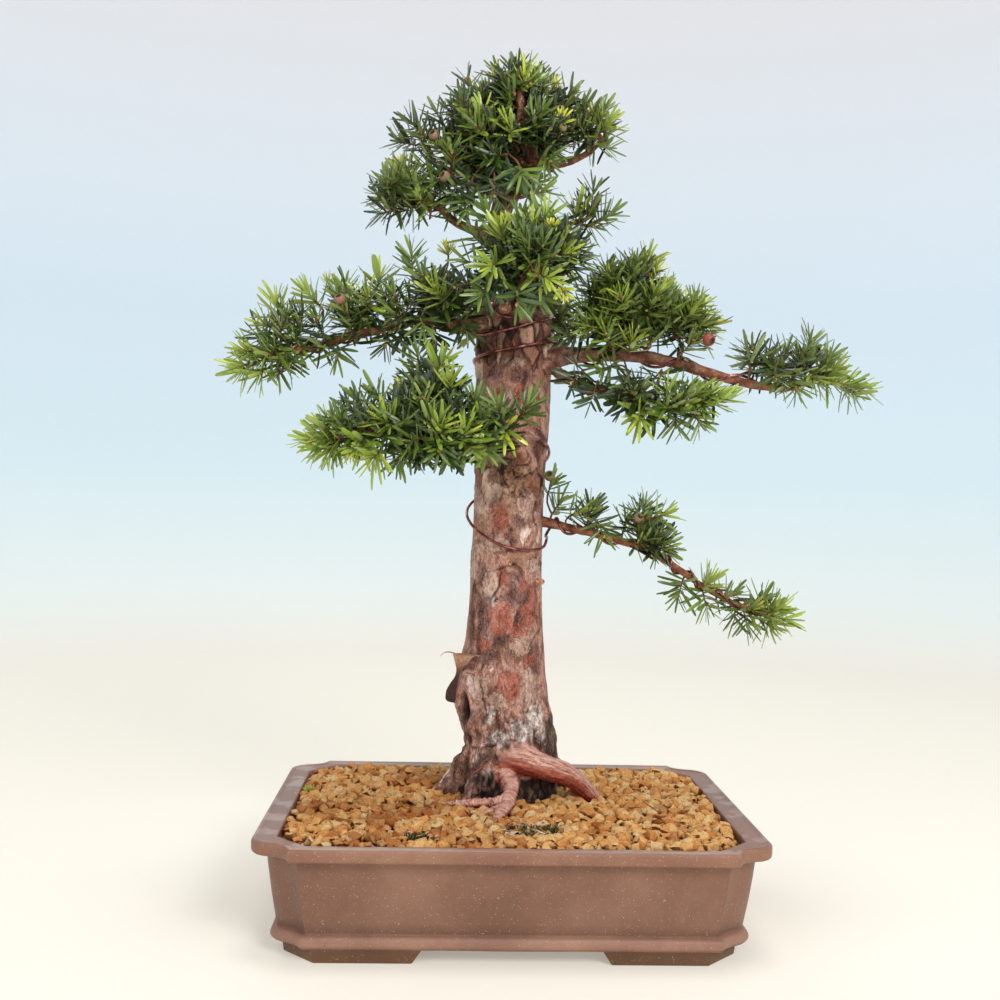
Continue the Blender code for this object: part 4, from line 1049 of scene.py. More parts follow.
def carveTrunk():
    bark = copyOfNode("trunkBark", "trunk")
    addModifier(bark, "REMESH", mode="VOXEL", voxel_size=trunkBark["voxel"] * mm)
    addModifier(bark, "SMOOTH", factor=.6, iterations=9)
    applyModifiers(bark)
    at, out = surfaceOf(bark)
    x, _, z = at.T
    zones = {name: fade(z, *span) for name, span in trunkBark["zones"].items()}
    front = fade(-out[:, 1], -.1, .35)
    # high marks the upper trunk, darkened partly as painted shade under the crown; the leader's top is left
    # out, so it stays lighter as painted light
    low, high = zones["low"], zones["upper"] - zones["leaderTop"]
    rough = zones["rough"] * (1 - .5 * high) + np.exp(-((z - 352) / 17) ** 2)
    onRoot, fold, across, length, lift, pull, slim = rootSkins(at)
    bare = 1 - onRoot

    wobble = 5 * noiseAt(at, .07, .07, .05)[:, None]
    heights, edges = platesAt(at + wobble, .085, .085, .042)
    chunky = zones["chunky"] * zones["underTop"]
    broken = np.maximum(fade(noiseAt(at, .14, shift=17), -.12, .2), chunky)
    crack = np.exp(-(edges / .055) ** 2) * bare * np.clip(rough, 0, 1) * (.25 + .75 * broken)
    relief = trunkBark["wrinkles"] * noiseAt(at, .22, .22, .05, shift=7) * bare * (1 + 2.8 * low)
    folds = noiseAt(at, .16, .16, .12, shift=31) - .8 * np.abs(noiseAt(at, .3, .3, .16, shift=13))
    relief += 1.2 * low * bare * folds
    steps = trunkBark["plates"] * (heights - .5) * fade(edges, 0, .12) * bare * rough * (1 + .8 * chunky)
    move = relief + steps + trunkBark["broad"] * noiseAt(at, .045, .045, .022) * (1 - .7 * onRoot)
    move -= trunkBark["cracks"] * crack * (1 + chunky)
    move += trunkBark["grit"] * noiseAt(at, .5, .5, .35, shift=3) * (1 + low) + fold - slim

    fields = markFields(at, out, onRoot, low, high)
    inside = {kind: fade(field, .47, .56) for kind, field in fields.items()}
    move += .55 * inside["pale"] - .3 * inside["red"] - .25 * inside["stain"] + .2 * inside["tan"]
    move += inside["crust"] * (.4 + 1.3 * noiseAt(at, .25, shift=2))
    flare = fade(x, -4, 6) * zones["flare"] * bare
    move += flare * 2.0 * noiseAt(at, .18, .18, .07, shift=9)

    wavy = at[:, [0, 2]] + 1.3 * noiseAt(at, .25, shift=4)[:, None]
    for line in trunkBark["splits"]:
        split = np.exp(-(nearLine(wavy, line)[0] / .8) ** 2) * front
        move -= 1.0 * split
        crack = np.maximum(crack, split * .8)
    for line in trunkBark["edges"]:
        # bark stands proud above the line and is undercut below it, with painted shadow along the undercut
        away, ways, _, _ = nearLine(wavy, line)
        side = np.sign(ways[:, 1]) * away
        ends = np.exp(-(np.maximum(away - 3.4, 0) / .8) ** 2) * front * bare * (.3 + .7 * broken)
        move += ends * (1.1 * np.exp(-((side - 1.3) / 1.7) ** 2) - .9 * np.exp(-((side + 1.3) / 1.1) ** 2))
        crack = np.maximum(crack, .8 * ends * np.exp(-((side + .9) / .8) ** 2))

    # the hollow: a raised lip round a deep pit, whose inside is darkened further as painted shade
    midX, midZ, wide, tall = trunkBark["hollow"]
    reach = np.hypot((x - midX + .1 * (z - midZ)) / wide, (z - midZ) / tall)
    hole, lip = fade(reach, 1.0, .5) * front, np.exp(-((reach - 1.45) / .4) ** 2) * front
    move += 2.0 * lip - 7 * hole
    midX, midZ, wide = trunkBark["whorl"]
    away = np.hypot(x - midX, z - midZ)
    turn = np.arctan2(z - midZ, x - midX)
    whorl = np.exp(-(away / wide) ** 2) * front
    move += whorl * (1.0 * np.sin(turn * 5 + away * .8 + 4 * noiseAt(at, .1)) - .3)

    # the recess between and behind the roots, roughened, and darkened in broken patches as painted shade
    recess = zones["recess"] * fade(x, -62, -52) * fade(x, 48, 38) * front * bare
    move += recess * 2 * noiseAt(at, .2, shift=8)
    recess *= .66 + .34 * fade(noiseAt(at, .25, .25, .16, shift=12), .15, -.15)
    at = at + out * move[:, None]
    at[:, 2] += lift
    at[:, 0] -= pull
    movePoints(bark, at * mm)
    # painted shade: near black in the cracks, along the undercuts, in the hollow and in the recess
    dark = np.clip(crack + hole * 1.5 + recess, 0, 1)
    for name, values in {**fields, "dark": dark, "plate": heights, "rough": np.clip(rough, 0, 1),
                         "relief": np.clip(.5 + .65 * relief + .15 * steps + .5 * fold - .5 * crack, 0, 1),
                         "root": onRoot, "across": across, "length": length, "whorl": whorl,
                         "upper": high}.items():
        markPoints(bark, name, values)
    smoothShade(bark, 180)
    return finishPiece(bark, barkMaterial(), "trunk_bark", "trunk")


# inner and outer colour of each mark, in the order they are laid over each other
barkTones = {
    "tan": ((152, 104, 76), (190, 144, 114)), "brown": ((78, 46, 32), (150, 104, 76)),
    "stain": ((74, 42, 40), (128, 84, 76)), "red": ((118, 50, 38), (186, 102, 78)),
    "pale": ((162, 120, 102), (218, 184, 164)), "crust": ((168, 128, 112), (250, 240, 232)),
    "moss": ((28, 24, 16), (96, 76, 56)),
}


def barkMaterial():
    material, tree = newMaterial("yew trunk bark", .8, Specular_IOR_Level=.28)
    place = placeOf(tree)
    cloud = spreadOf(noiseOf(placeOf(tree, (1, 1, .6)), 62, 7, .66, .7), .36, .64)
    fine = spreadOf(noiseOf(placeOf(tree, (1, 1, .65)), 420, 7, .72, .4), .34, .66)
    grain = spreadOf(noiseOf(place, 1250, 3, .6), .32, .68)
    body = rampOf(cloud, (0, (80, 48, 40)), (.2, (126, 78, 64)), (.42, (168, 119, 100)),
                  (.6, (208, 160, 141)), (.78, (142, 88, 70)), (1, (246, 214, 200)))
    plates = rampOf(attributeOf(tree, "plate"), (0, (150, 92, 64)), (.4, (212, 164, 136)),
                    (1, (252, 222, 198)))
    body = mixOf(times(attributeOf(tree, "rough"), .7), body, plates)
    # the upper trunk browner and darker: its own brown bark, and painted shade under the crown
    body = mixOf(attributeOf(tree, "upper"), body, rampOf(fine, (.1, (92, 52, 40)), (.8, (154, 106, 82))))
    body = mixOf(attributeOf(tree, "whorl"), body, rampOf(fine, (.1, (92, 54, 34)), (.8, (180, 136, 102))))
    height = times(fine, .3)
    jitter = times(minus(mixOf(.5, fine, cloud), .5), .34)
    for name, (inner, outer) in barkTones.items():
        soft = .12 if name in ("stain", "crust", "moss", "tan") else .05
        edge = rampOf(plus(attributeOf(tree, name), jitter), (.5 - soft, 0.0), (.5 + soft, 1.0))
        edge = times(edge, .9 if name in ("crust", "moss", "brown") else .8)
        body = mixOf(edge, body, rampOf(mixOf(.4, fine, cloud), (.2, inner), (.75, outer)))
        if name in ("pale", "red"):
            height = plus(height, times(edge, .6 if name == "pale" else -.4))

    flow = put(tree, "CombineXYZ", {0: attributeOf(tree, "across"),
                                    1: attributeOf(tree, "length")}).outputs[0]
    strands = spreadOf(noiseOf(flow, .6, 6, .7, .5), .34, .66)
    facing = facingOf(tree)
    skin = rampOf(strands, (0, (146, 84, 66)), (.3, (204, 134, 112)), (.6, (240, 182, 162)),
                  (1, (255, 220, 206)))
    skin = mixOf(.22, skin, body)
    # painted shade: the root skin darker and redder the more it faces down, over its own redder underside
    under = rampOf(times(plus(facing, 1.0), .5),
                   (.2, (166, 78, 54)), (.45, (216, 160, 140)), (.64, (255, 255, 255)))
    skin = darken(1.0, skin, under)
    # painted shade in the fine cracks of the root skin
    skin = mixOf(rampOf(strands, (.06, .8), (.14, 0.0)), skin, srgb(70, 34, 26))
    body = mixOf(attributeOf(tree, "root"), body, skin)

    share = minus(.85, times(attributeOf(tree, "root"), .4))
    body = darken(share, body, rampOf(fine, (0, .32), (.3, .74), (.55, 1.0)))
    body = darken(.6, body, rampOf(grain, (0, .5), (.4, 1.0)))
    body = mixOf(rampOf(grain, (.8, 0.0), (.95, .5)), body, srgb(228, 210, 198))
    # thin wrinkles, most of them low on the trunk, darkened as painted shade in their creases
    wrinkle = mathOf("ABSOLUTE", minus(noiseOf(placeOf(tree, (1, 1, .4)), 105, 5, .62, .9), .5))
    level = times(alongAxis(place, 2), 4)
    lowDown = rampOf(level, (.5, .9), (.8, .45), (1, .4))
    wrinkles = rampOf(wrinkle, (0, .34), (.01, .68), (.032, 1.0))
    wrinkled = times(lowDown, minus(1.0, attributeOf(tree, "root")))
    body = darken(wrinkled, body, wrinkles)
    height = plus(height, times(wrinkles, times(wrinkled, .45)))
    # painted shade in the low spots of the bark's relief
    hollowShade = rampOf(attributeOf(tree, "relief"), (.1, .4), (.42, .88), (.6, 1.0))
    body = darken(.9, body, hollowShade)
    # painted shade: the cracks, undercuts, hollow and recess go near black
    body = mixOf(attributeOf(tree, "dark"), body, srgb(34, 20, 15))
    linkTo(body, "Base Color")
    height = plus(height, times(grain, .12))
    height = plus(height, times(strands, times(attributeOf(tree, "root"), .5)))
    bumpOf(height, 1.3, .8)
    return material


trunkPiece = carveTrunk()
trunkSkin = skinOf(trunkPiece)
print("trunk carved:", len(trunkPiece.data.vertices), "points")


# Bark flakes that stand off the trunk, and the stubs of cut twigs
flakes = {
    "scattered": 120, "lengths": (3.5, 9), "shapes": 6,
    # x and z on the front, length, and the free edge's direction in degrees
    "placed": [(-17, 341, 10, -60), (-22, 346, 8, -110), (-6, 326, 9, 10), (-4, 300, 7, 0),
               (-43, 254, 7, -90), (-60, 232, 8, 170), (-61, 222, 7, 190), (-38, 200, 8, -80),
               (-46, 201, 8, -100), (-45, 129, 9, -90), (-36, 133, 7, -70), (-54, 128, 8, -100),
               (12, 150, 7, 20), (9, 160, 8, 30), (13, 140, 7, -20), (-30, 466, 9, -60),
               (-14, 462, 9, -100), (-22, 456, 8, -80), (-48, 452, 9, -120), (-6, 470, 9, -60),
               (-40, 345, 8, -100), (-2, 350, 8, -20)],
    # levels of the big curled flake at the left: height, then x and y from the trunk to the free edge
    "curled": [(205, (-50, 9), (-57, 14), (-63, 19), (-70, 19), (-76, 18)),
               (203, (-51, 10), (-58, 15.5), (-64, 20), (-70, 20.5), (-75, 19.5)),
               (196, (-54, 13), (-60, 19), (-65, 22), (-69, 22.5), (-73, 21.5)),
               (188, (-58, 18), (-62, 22), (-66, 24), (-68.5, 24.5), (-71, 23.5)),
               (182, (-62, 20), (-65, 22), (-68, 23), (-71.5, 23), (-75, 22)),
               (175, (-65, 21), (-68.5, 22), (-72, 22.5), (-76, 22), (-80, 21)),
               (167, (-67, 22), (-70, 22.5), (-73, 23), (-77, 22.5), (-81, 21.5)),
               (162, (-70, 22.5), (-72, 23), (-74, 23.2), (-77, 23), (-79.5, 22.6))],
    "curledTip": [((-73, 19, 204.5), 5, 1.1), ((-78, 18, 206), 4, .9), ((-82, 16, 205.8), 3, .8),
                  ((-85, 14.5, 203.5), 2, .6), ((-86, 14, 200.5), .8, .4)],
    "curledThick": .7,
    # cut stubs: place, direction, radius and length
    "stubs": [((-4, 12, 267), (.75, -.6, -.25), 2.2, 3.4), ((-31, 7, 282), (0, -1, 0), 2.6, 1.6),
              ((-30, 10, 650), (-.03, -.06, 1), 3.4, 22), ((-39, 8, 493), (-.1, -1, .05), 5, 9),
              ((-24, 8, 373), (.3, -1, .1), 3, 2.5)],
}


def modelFlake(dice):
    # a thin ragged scale along Y, its free end lifted and its sides curled
    rings, lift = [], dice.uniform(.12, .5)
    for t in (0, .3, .65, 1):
        half = (.34, .5, .46, .26)[len(rings)] * dice.uniform(.8, 1.2)
        outer, inner = [], []
        for k in range(4):
            x = half * (k / 1.5 - 1)
            y = t + dice.uniform(-.07, .07)
            z = lift * t * t + .35 * x * x + dice.uniform(-.02, .02)
            outer.append(Vector((x, y, z + .035)))
            inner.append(Vector((x * .97, y, z - .035)))
        rings.append(outer + inner[::-1])
    return readOriginal(liftRings("flake", rings))


def layFlakes():
    dice = random.Random(21)
    shapes = [modelFlake(dice) for _ in range(flakes["shapes"])]
    seats = []
    for x, z, length, turn in flakes["placed"]:
        hit, normal, _, _ = trunkSkin.ray_cast(Vector((x, -90, z)), Vector((0, 1, 0)))
        if hit:
            seats.append((hit, normal, length, turn))
    while len(seats) < flakes["scattered"]:
        turn = dice.uniform(0, 2 * math.pi)
        z = dice.choice((dice.uniform(125, 470), dice.uniform(430, 480)))
        outward = Vector((math.cos(turn), math.sin(turn), 0))
        hit, normal, _, _ = trunkSkin.ray_cast(Vector((potX, trunkY, z)) + outward * 60, -outward)
        if hit and abs(normal.z) < .6 and not (z > 410 and outward.x > .8):
            free = dice.choice((-90, -90, 0, 180)) + dice.gauss(0, 30)
            seats.append((hit, normal, dice.uniform(*flakes["lengths"]), free))
    turns, places = [], []
    for hit, normal, length, turn in seats:
        flat = normal.cross(up).normalized() * -1
        way = flat * math.cos(math.radians(turn)) + normal.cross(flat) * math.sin(math.radians(turn))
        side = way.cross(normal)
        turns.append([side * length * mm, way * length * mm, normal * length * mm])
        places.append((hit - normal * .25) * mm)
    kinds = [dice.randrange(flakes["shapes"]) for _ in seats]
    scales, owners = stampCopies("bark_flakes", shapes, kinds, turns, places)
    markPoints(scales, "tone", np.array([dice.random() for _ in seats])[owners])
    finishPiece(smoothShade(scales, 50), flakeFinish, "trunk_bark")

    rings = []
    for height, *plan in flakes["curled"]:
        outer = [Vector((x, y, height + dice.uniform(-.9, .9))) for x, y in plan]
        inner = [place + Vector((.25, 1, 0)) * flakes["curledThick"] for place in outer]
        rings.append(outer + inner[::-1])
    curled = liftRings("curled_flake", rings)
    plan = ((-1, -.6), (-.4, -1), (.4, -1), (1, -.6), (1, .6), (.4, 1), (-.4, 1), (-1, .6))
    tip = liftRings("flake_tip", [[Vector(at) + Vector((0, y * wide / 2, z * thick / 2)) for y, z in plan]
                                  for at, wide, thick in flakes["curledTip"]])
    pick(curled)
    tip.select_set(True)
    bpy.ops.object.join()
    addModifier(curled, "SUBSURF", levels=2)
    applyModifiers(curled)
    at, out = surfaceOf(curled)
    roughen(curled, at, out, .3 * noiseAt(at, .35, .35, .2))
    markPoints(curled, "tone", fade(at[:, 2], 182, 203) * .7 + .02)
    finishPiece(smoothShade(curled, 60), flakeFinish, "trunk_bark")


def growStubs():
    strands = []
    for place, way, radius, length in flakes["stubs"]:
        base, way = Vector(place), Vector(way).normalized()
        strands.append([(*(base + way * (length * t)), radius * wide)
                        for t, wide in ((-.8, 1.15), (0, 1.1), (.5, 1), (.9, .96), (1, .8), (1.02, .4))])
    stubs = tubesFrom("cut_stubs", strands, 12)
    at, out = surfaceOf(stubs)
    roughen(stubs, at, out, .3 * noiseAt(at, .5))
    finishPiece(smoothShade(stubs, 50), stubFinish, "twig_bark")


def flakeMaterial():
    material, tree = newMaterial("loose bark", .8, Specular_IOR_Level=.25)
    fine = noiseOf(placeOf(tree), 420, 5, .7)
    pale = rampOf(attributeOf(tree, "tone"), (0, (64, 44, 36)), (.3, (126, 88, 68)), (.6, (178, 134, 106)),
                  (1, (200, 166, 140)))
    linkTo(darken(.85, pale, rampOf(fine, (.32, .4), (.55, 1.0))), "Base Color")
    bumpOf(fine, .6, .7)
    return material


flakeFinish = flakeMaterial()
# pale cut wood, made lighter still as painted light for the leader's stub in the crown's shade
stubFinish = cloudedMaterial("cut stub", .8, (500, 5, .7),
                             [(.38, (104, 62, 46)), (.5, (178, 124, 96)), (.62, (230, 188, 158))], (.6, .7),
                             Specular_IOR_Level=.25)
layFlakes()
growStubs()
print("flakes and stubs laid")


# Branches with bark of their own
branchBark = {"step": 2.4, "sides": 14, "swell": .07, "flakes": .35}


def growBranch(name, route):
    rows = fineRoute(route, branchBark["step"])
    rows[:, 3] *= 1 + branchBark["swell"] * 2 * noiseAt(rows[:, :3], .11, shift=1)
    rows[-1, 3] *= .6
    branch = tubesFrom(name + "_bark", [rows], branchBark["sides"])
    at, out = surfaceOf(branch)
    _, _, along, radius = nearLine(at, rows)
    rough = .25 + .75 * fade(radius, 2.5, 7)
    flakes, edges = platesAt(at, .16)
    move = rough * (.6 * noiseAt(at, .3) + branchBark["flakes"] * (flakes - .5) * fade(edges, 0, .15))
    # the foot of a thick branch is gnarled
    gnarl = fade(along, 30, 14) * fade(radius, 4.3, 5.2)
    move += gnarl * (1.5 * noiseAt(at, .2, shift=5) - 1.6 * np.abs(noiseAt(at, .34, shift=8)) + .3)
    move += .1 * noiseAt(at, 1.1)
    markPoints(branch, "relief", np.clip(.55 + .6 * move, 0, 1))
    roughen(branch, at, out, move)
    markPoints(branch, "old", fade(radius, 3, 8))
    smoothShade(branch, 180)
    return finishPiece(branch, branchFinish, "twig_bark", name)


def branchMaterial():
    material, tree = newMaterial("branch bark", .78, Specular_IOR_Level=.3)
    place = placeOf(tree)
    cloud = noiseOf(place, 110, 4, .6)
    fine = noiseOf(place, 700, 5, .65)
    young = rampOf(cloud, (.34, (104, 58, 40)), (.5, (146, 88, 62)), (.64, (182, 128, 98)))
    old = rampOf(cloud, (.34, (112, 66, 54)), (.5, (160, 112, 94)), (.64, (200, 162, 142)))
    body = mixOf(attributeOf(tree, "old"), young, old)
    # painted shade in the low spots of the bark
    body = darken(.8, body, rampOf(attributeOf(tree, "relief"), (.05, .3), (.4, .85), (.6, 1.0)))
    linkTo(darken(.75, body, rampOf(fine, (.34, .42), (.55, 1.0))), "Base Color")
    bumpOf(fine, .8, .7)
    return material


# Training wire, as in the CAD source but with more points to each turn
wire = {"radius": 1.25, "gap": .15, "pointsPerTurn": 20, "trunkStep": 6, "lineStep": 2.2, "sides": 10}


def turnsOn(branch, start, end, turns, phase):
    # points of a coil round a branch, from one share of its length to another
    rows = fineRoute(branchRoutes[branch], 18)
    count = round(abs(turns) * wire["pointsPerTurn"])
    points = []
    for k in range(count + 1):
        t = k / count
        spot = (start + (end - start) * t) * (len(rows) - 1)
        low = min(int(spot), len(rows) - 2)
        row = rows[low] + (rows[low + 1] - rows[low]) * (spot - low)
        way = Vector(rows[low + 1][:3] - rows[low][:3]).normalized()
        side = way.cross(up).normalized()
        turn = math.radians(phase) + 2 * math.pi * turns * t
        reach = row[3] * 1.04 + wire["radius"] + wire["gap"]
        points.append(Vector(row[:3]) + side * (reach * math.cos(turn))
                      + side.cross(way) * (reach * math.sin(turn)))
    return points


def roundTrunk(stops):
    # points round the trunk through stops of angle in degrees, height and extra standoff in millimetres
    rows = []
    for a, b in zip(stops, stops[1:]):
        pieces = max(1, round(abs(b[0] - a[0]) / wire["trunkStep"]))
        rows += [[p + (q - p) * k / pieces for p, q in zip(a, b)] for k in range(pieces)]
    rows.append(stops[-1])
    reaches = []
    for angle, height, extra in rows:
        turn = math.radians(angle)
        outward = Vector((math.cos(turn), math.sin(turn), 0))
        middle = Vector((potX, trunkY, height))
        hit = trunkSkin.ray_cast(middle + outward * 46, -outward)[0]
        reaches.append(((hit - middle).length if hit else 30) + extra)
    # the wire is stiff, so it spans the bark's small dips and turns evenly
    widest = [max(reaches[max(0, k - 2):k + 3]) for k in range(len(reaches))]
    points = []
    for k, (angle, _, _) in enumerate(rows):
        near = slice(max(0, k - 4), k + 5)
        reach = np.mean(widest[near]) + wire["radius"]
        turn = math.radians(angle)
        points.append(Vector((potX + reach * math.cos(turn), trunkY + reach * math.sin(turn),
                              np.mean([row[1] for row in rows[near]]))))
    return points


def windWires():
    hook = [(-3, 1, 504), (-12, -1, 503.5), (-19, 2, 499), (-20.5, 3.5, 493), (-18, 2.5, 487),
            (-12, 1.5, 484.5), (-6, 2.5, 484)]
    hook = [Vector((x + potX, y, z)) for x, y, z in hook]
    routes = {
        "wire_right": turnsOn("branch_right", .10, .93, 3.7, 90)[::-1]
        + roundTrunk([(-22, 469.5, 1), (-90, 460, 0), (-180, 450, 0), (-270, 444, 0), (-340, 436, 0)])
        + turnsOn("branch_right_lower", .25, .93, 3.0, 180),
        "wire_upper_left": turnsOn("branch_upper_left", .20, .93, 5.0, 270)[::-1]
        + roundTrunk([(-146, 470, 1), (-120, 472, 0), (-90, 477, 0), (-20, 490, 0), (40, 492, 0)])
        + turnsOn("branch_back", .45, .95, 1.5, 0),
        "wire_low": turnsOn("branch_lower_left", .20, .9, 3.0, 120)[::-1]
        + roundTrunk([(-55, 388, 1.5), (0, 372, 0), (90, 352, 0), (180, 322, 5), (230, 302, 2),
                      (270, 292, 0), (340, 293, 0), (362, 302, 2), (373, 315, 4)])
        + turnsOn("branch_low_right", .12, .97, -6.0, 100),
        "wire_front": turnsOn("branch_front", .30, .92, 2.5, 0)[::-1] + hook,
    }
    for name, points in routes.items():
        # long steps between two stretches are bridged by a smooth line
        rows = smoothRows([(*point, wire["radius"]) for point in points], wire["lineStep"])
        piece = tubesFrom(name + "_copper", [rows], wire["sides"])
        finishPiece(smoothShade(piece, 60), wireFinish, "training_wire", name)


def wireMaterial():
    material, tree = newMaterial("dark copper wire", .26, Metallic=.7)
    cloud = noiseOf(placeOf(tree), 130, 4, .6)
    linkTo(rampOf(cloud, (.35, (86, 44, 42)), (.5, (130, 70, 64)), (.66, (182, 118, 108))), "Base Color")
    bumpOf(noiseOf(placeOf(tree), 900, 3), .1, .4)
    return material


branchFinish = branchMaterial()
wireFinish = wireMaterial()
for name, route in branchRoutes.items():
    growBranch(name, route)
windWires()
print("branches and wires done")


# Soil: crumbly akadama grains heaped over the CAD soil bed
grains = {
    "tries": 5200, "area": (172, 128),       # where grains are dropped, in millimetres from the middle
    "sizes": (4.6, 9.4), "sizeShare": .8,    # millimetres across, and how many have these sizes
    "crumbs": (3.2, 5.5),                    # sizes of the others
    "highest": 85.8, "empty": 79.5,          # heights of the heap and of a spot with no soil under it
    "halfLength": 171, "halfWidth": 126.8, "cut": 24,        # the pot's hollow
    "shapes": 7,
}


def modelGrain(seed):
    clearSelection()
    bpy.ops.mesh.primitive_cube_add(size=1)
    made = bpy.context.object
    editAll(made)
    bpy.ops.mesh.subdivide(number_cuts=1)
    bpy.ops.transform.tosphere(value=.62)
    bpy.ops.transform.vertex_random(offset=.13, uniform=.6, normal=.4, seed=seed)
    leaveEdit()
    return readOriginal(made)


def inHollow(x, y, margin):
    # inside the pot's cut-cornered hollow, in millimetres from the pot's middle
    x, y = abs(x), abs(y)
    reachX, reachY = grains["halfLength"] - margin, grains["halfWidth"] - margin
    return x < reachX and y < reachY and (reachX - x) + (reachY - y) > grains["cut"] + margin * .4


def heapGrains():
    dice = random.Random(5)
    bed = skinOf(nodes["soil_bed"])
    # a map of the heap's height, a millimetre to a cell
    wide, deep, step = 2 * 190, 2 * 145, 4
    heights = np.empty((wide, deep))
    for i in range(0, wide, step):
        for j in range(0, deep, step):
            hit = bed.ray_cast(Vector((i - wide / 2 + potX, j - deep / 2, 120)), -up)[0]
            heights[i:i + step, j:j + step] = hit.z if hit and hit.z > 60 else grains["empty"]
    spots, sizes = [], []
    grid = np.arange(-12, 13)
    away = np.hypot(grid[:, None], grid[None, :])
    for _ in range(grains["tries"]):
        x, y = (dice.uniform(-reach, reach) for reach in grains["area"])
        size = dice.uniform(*grains["sizes" if dice.random() < grains["sizeShare"] else "crumbs"])
        radius = size / 2
        if not inHollow(x, y, radius * .8):
            continue
        i, j = int(x + wide / 2), int(y + deep / 2)
        under = heights[i - 12:i + 13, j - 12:j + 13]
        rest = np.quantile(under[away <= radius * .75], .45)
        if rest + radius > grains["highest"]:
            continue
        z = rest + radius * .68
        place = Vector((x + potX, y, z))
        near, normal, _, gap = trunkSkin.find_nearest(place)
        if gap < radius * .5 or (place - near).dot(normal) < 0:
            continue
        spots.append(place)
        sizes.append(size)
        cap = z + np.sqrt(np.maximum(radius ** 2 - away ** 2, 0)) * .85
        heights[i - 12:i + 13, j - 12:j + 13] = np.where(away < radius, np.maximum(under, cap), under)
    turns, kinds = [], []
    for size in sizes:
        turn = Euler([dice.uniform(0, 6.28) for _ in "xyz"]).to_matrix()
        squash = Vector([dice.uniform(.8, 1.15) for _ in "xyz"]) * (size * mm)
        turns.append([[c * squash[k] for c in turn[k]] for k in range(3)])
        kinds.append(dice.randrange(grains["shapes"]))
    turns, places, kinds = np.array(turns), np.array(spots) * mm, np.array(kinds)
    tones = np.array([dice.random() for _ in sizes])
    # the left side is darker in patches: damp soil, and painted shade on the side away from the light
    around = places / mm
    dampAndShade = fade(noiseAt(around, .021, .021, 0, shift=3), -.12, .2) * fade(around[:, 0], potX + 40, potX - 50)
    dampAndShade *= np.array([dice.uniform(.45, 1) for _ in sizes])
    shapes = [modelGrain(40 + k) for k in range(grains["shapes"])]
    finish = grainMaterial()
    onLeft = places[:, 0] < potX * mm
    for name, chosen in (("grains_left", onLeft), ("grains_right", ~onLeft)):
        heap, owners = stampCopies(name, shapes, kinds[chosen], turns[chosen], places[chosen])
        rise = (pointsOf(heap)[:, 2] - places[chosen][owners][:, 2]) / mm / np.array(sizes)[chosen][owners]
        markPoints(heap, "tone", tones[chosen][owners])
        markPoints(heap, "dampAndShade", dampAndShade[chosen][owners])
        # painted shade: the lower part of each grain, down in the gaps between grains, is marked to be
        # darkened
        markPoints(heap, "deep", fade(rise, .12, -.34))
        finishPiece(smoothShade(heap, 62), finish, "akadama")
    dress(nodes["soil_bed"], cloudedMaterial("fine akadama", .95, (320, 5, .7), [
        (.35, (88, 56, 28)), (.6, (168, 118, 66))], (1.5, .9), Specular_IOR_Level=.1))
    return spots


def grainMaterial():
    material, tree = newMaterial("akadama grain", .95, Specular_IOR_Level=.15)
    place = placeOf(tree)
    tone = rampOf(attributeOf(tree, "tone"), (0, (226, 152, 84)), (.3, (246, 180, 106)),
                  (.7, (255, 203, 133)), (.93, (255, 219, 158)), (1, (206, 130, 66)))
    crumbs = spreadOf(noiseOf(place, 560, 6, .72), .34, .66)
    body = darken(.9, tone, rampOf(crumbs, (0, .36), (.28, .8), (.6, 1.0)))
    # painted shade on the grains' lower parts, in the gaps between them
    body = mixOf(attributeOf(tree, "deep"), body, darken(1.0, body, srgb(96, 52, 28)))
    # less light reaches the sides and undersides
    facing = facingOf(tree)
    body = darken(1.0, body, rampOf(facing, (0, (150, 112, 88)), (.35, (232, 216, 204)),
                                    (.7, (255, 255, 255))))
    # damp soil and painted shade: the marked grains are darkened
    body = mixOf(attributeOf(tree, "dampAndShade"), body, darken(1.0, body, srgb(204, 172, 152)))
    linkTo(body, "Base Color")
    bumpOf(crumbs, 1.1, .9)
    return material


# Moss cushions, sprouts and the litter between the grains
litter = {
    # centre x and y from the pot's middle, reach along x and y, and how many
    "moss": {"moss_front": (20, -84, 27, 13, 120), "moss_edge": (-70, -106, 13, 8, 70)},
    "mossFoot": 83.5, "mossRise": 2.2,       # a cushion's edge, and its middle's height over that
    "mossLength": (2.2, 4.2),
    "fibres": [(16, -84, 26, 14, 60), (-72, -104, 12, 8, 10), (4, -6, 34, 10, 16)],
    "dryNeedles": 20,
}


def plantMoss():
    dice = random.Random(8)
    finish = cloudedMaterial("moss", .9, (160, 3), [(.36, (24, 19, 12)), (.48, (50, 46, 24)),
                                                   (.64, (104, 110, 54))], Specular_IOR_Level=.2)
    for name, (x, y, wide, deep, count) in litter["moss"].items():
        rows, places = [], []
        for _ in range(count):
            reach, turn = math.sqrt(dice.random()), dice.uniform(0, 6.28)
            spot = Vector((x + potX + wide * reach * math.cos(turn), y + deep * reach * math.sin(turn), 0))
            spot.z = litter["mossFoot"] + litter["mossRise"] * (1 - reach ** 2) + dice.uniform(-1, .6)
            for _ in range(5):
                way = (up * .8 + scatter(dice, .6)).normalized()
                size = dice.uniform(*litter["mossLength"]) / foliage["needleLength"] * mm
                rows.append(axesFor(way, size, 1.5))
                places.append(spot * mm)
        kinds = [dice.randrange(4) for _ in rows]
        tufts, _ = stampCopies(name + "_tufts", needleShapes, kinds, rows, places)
        finishPiece(smoothShade(tufts, 55), finish, "moss", name)


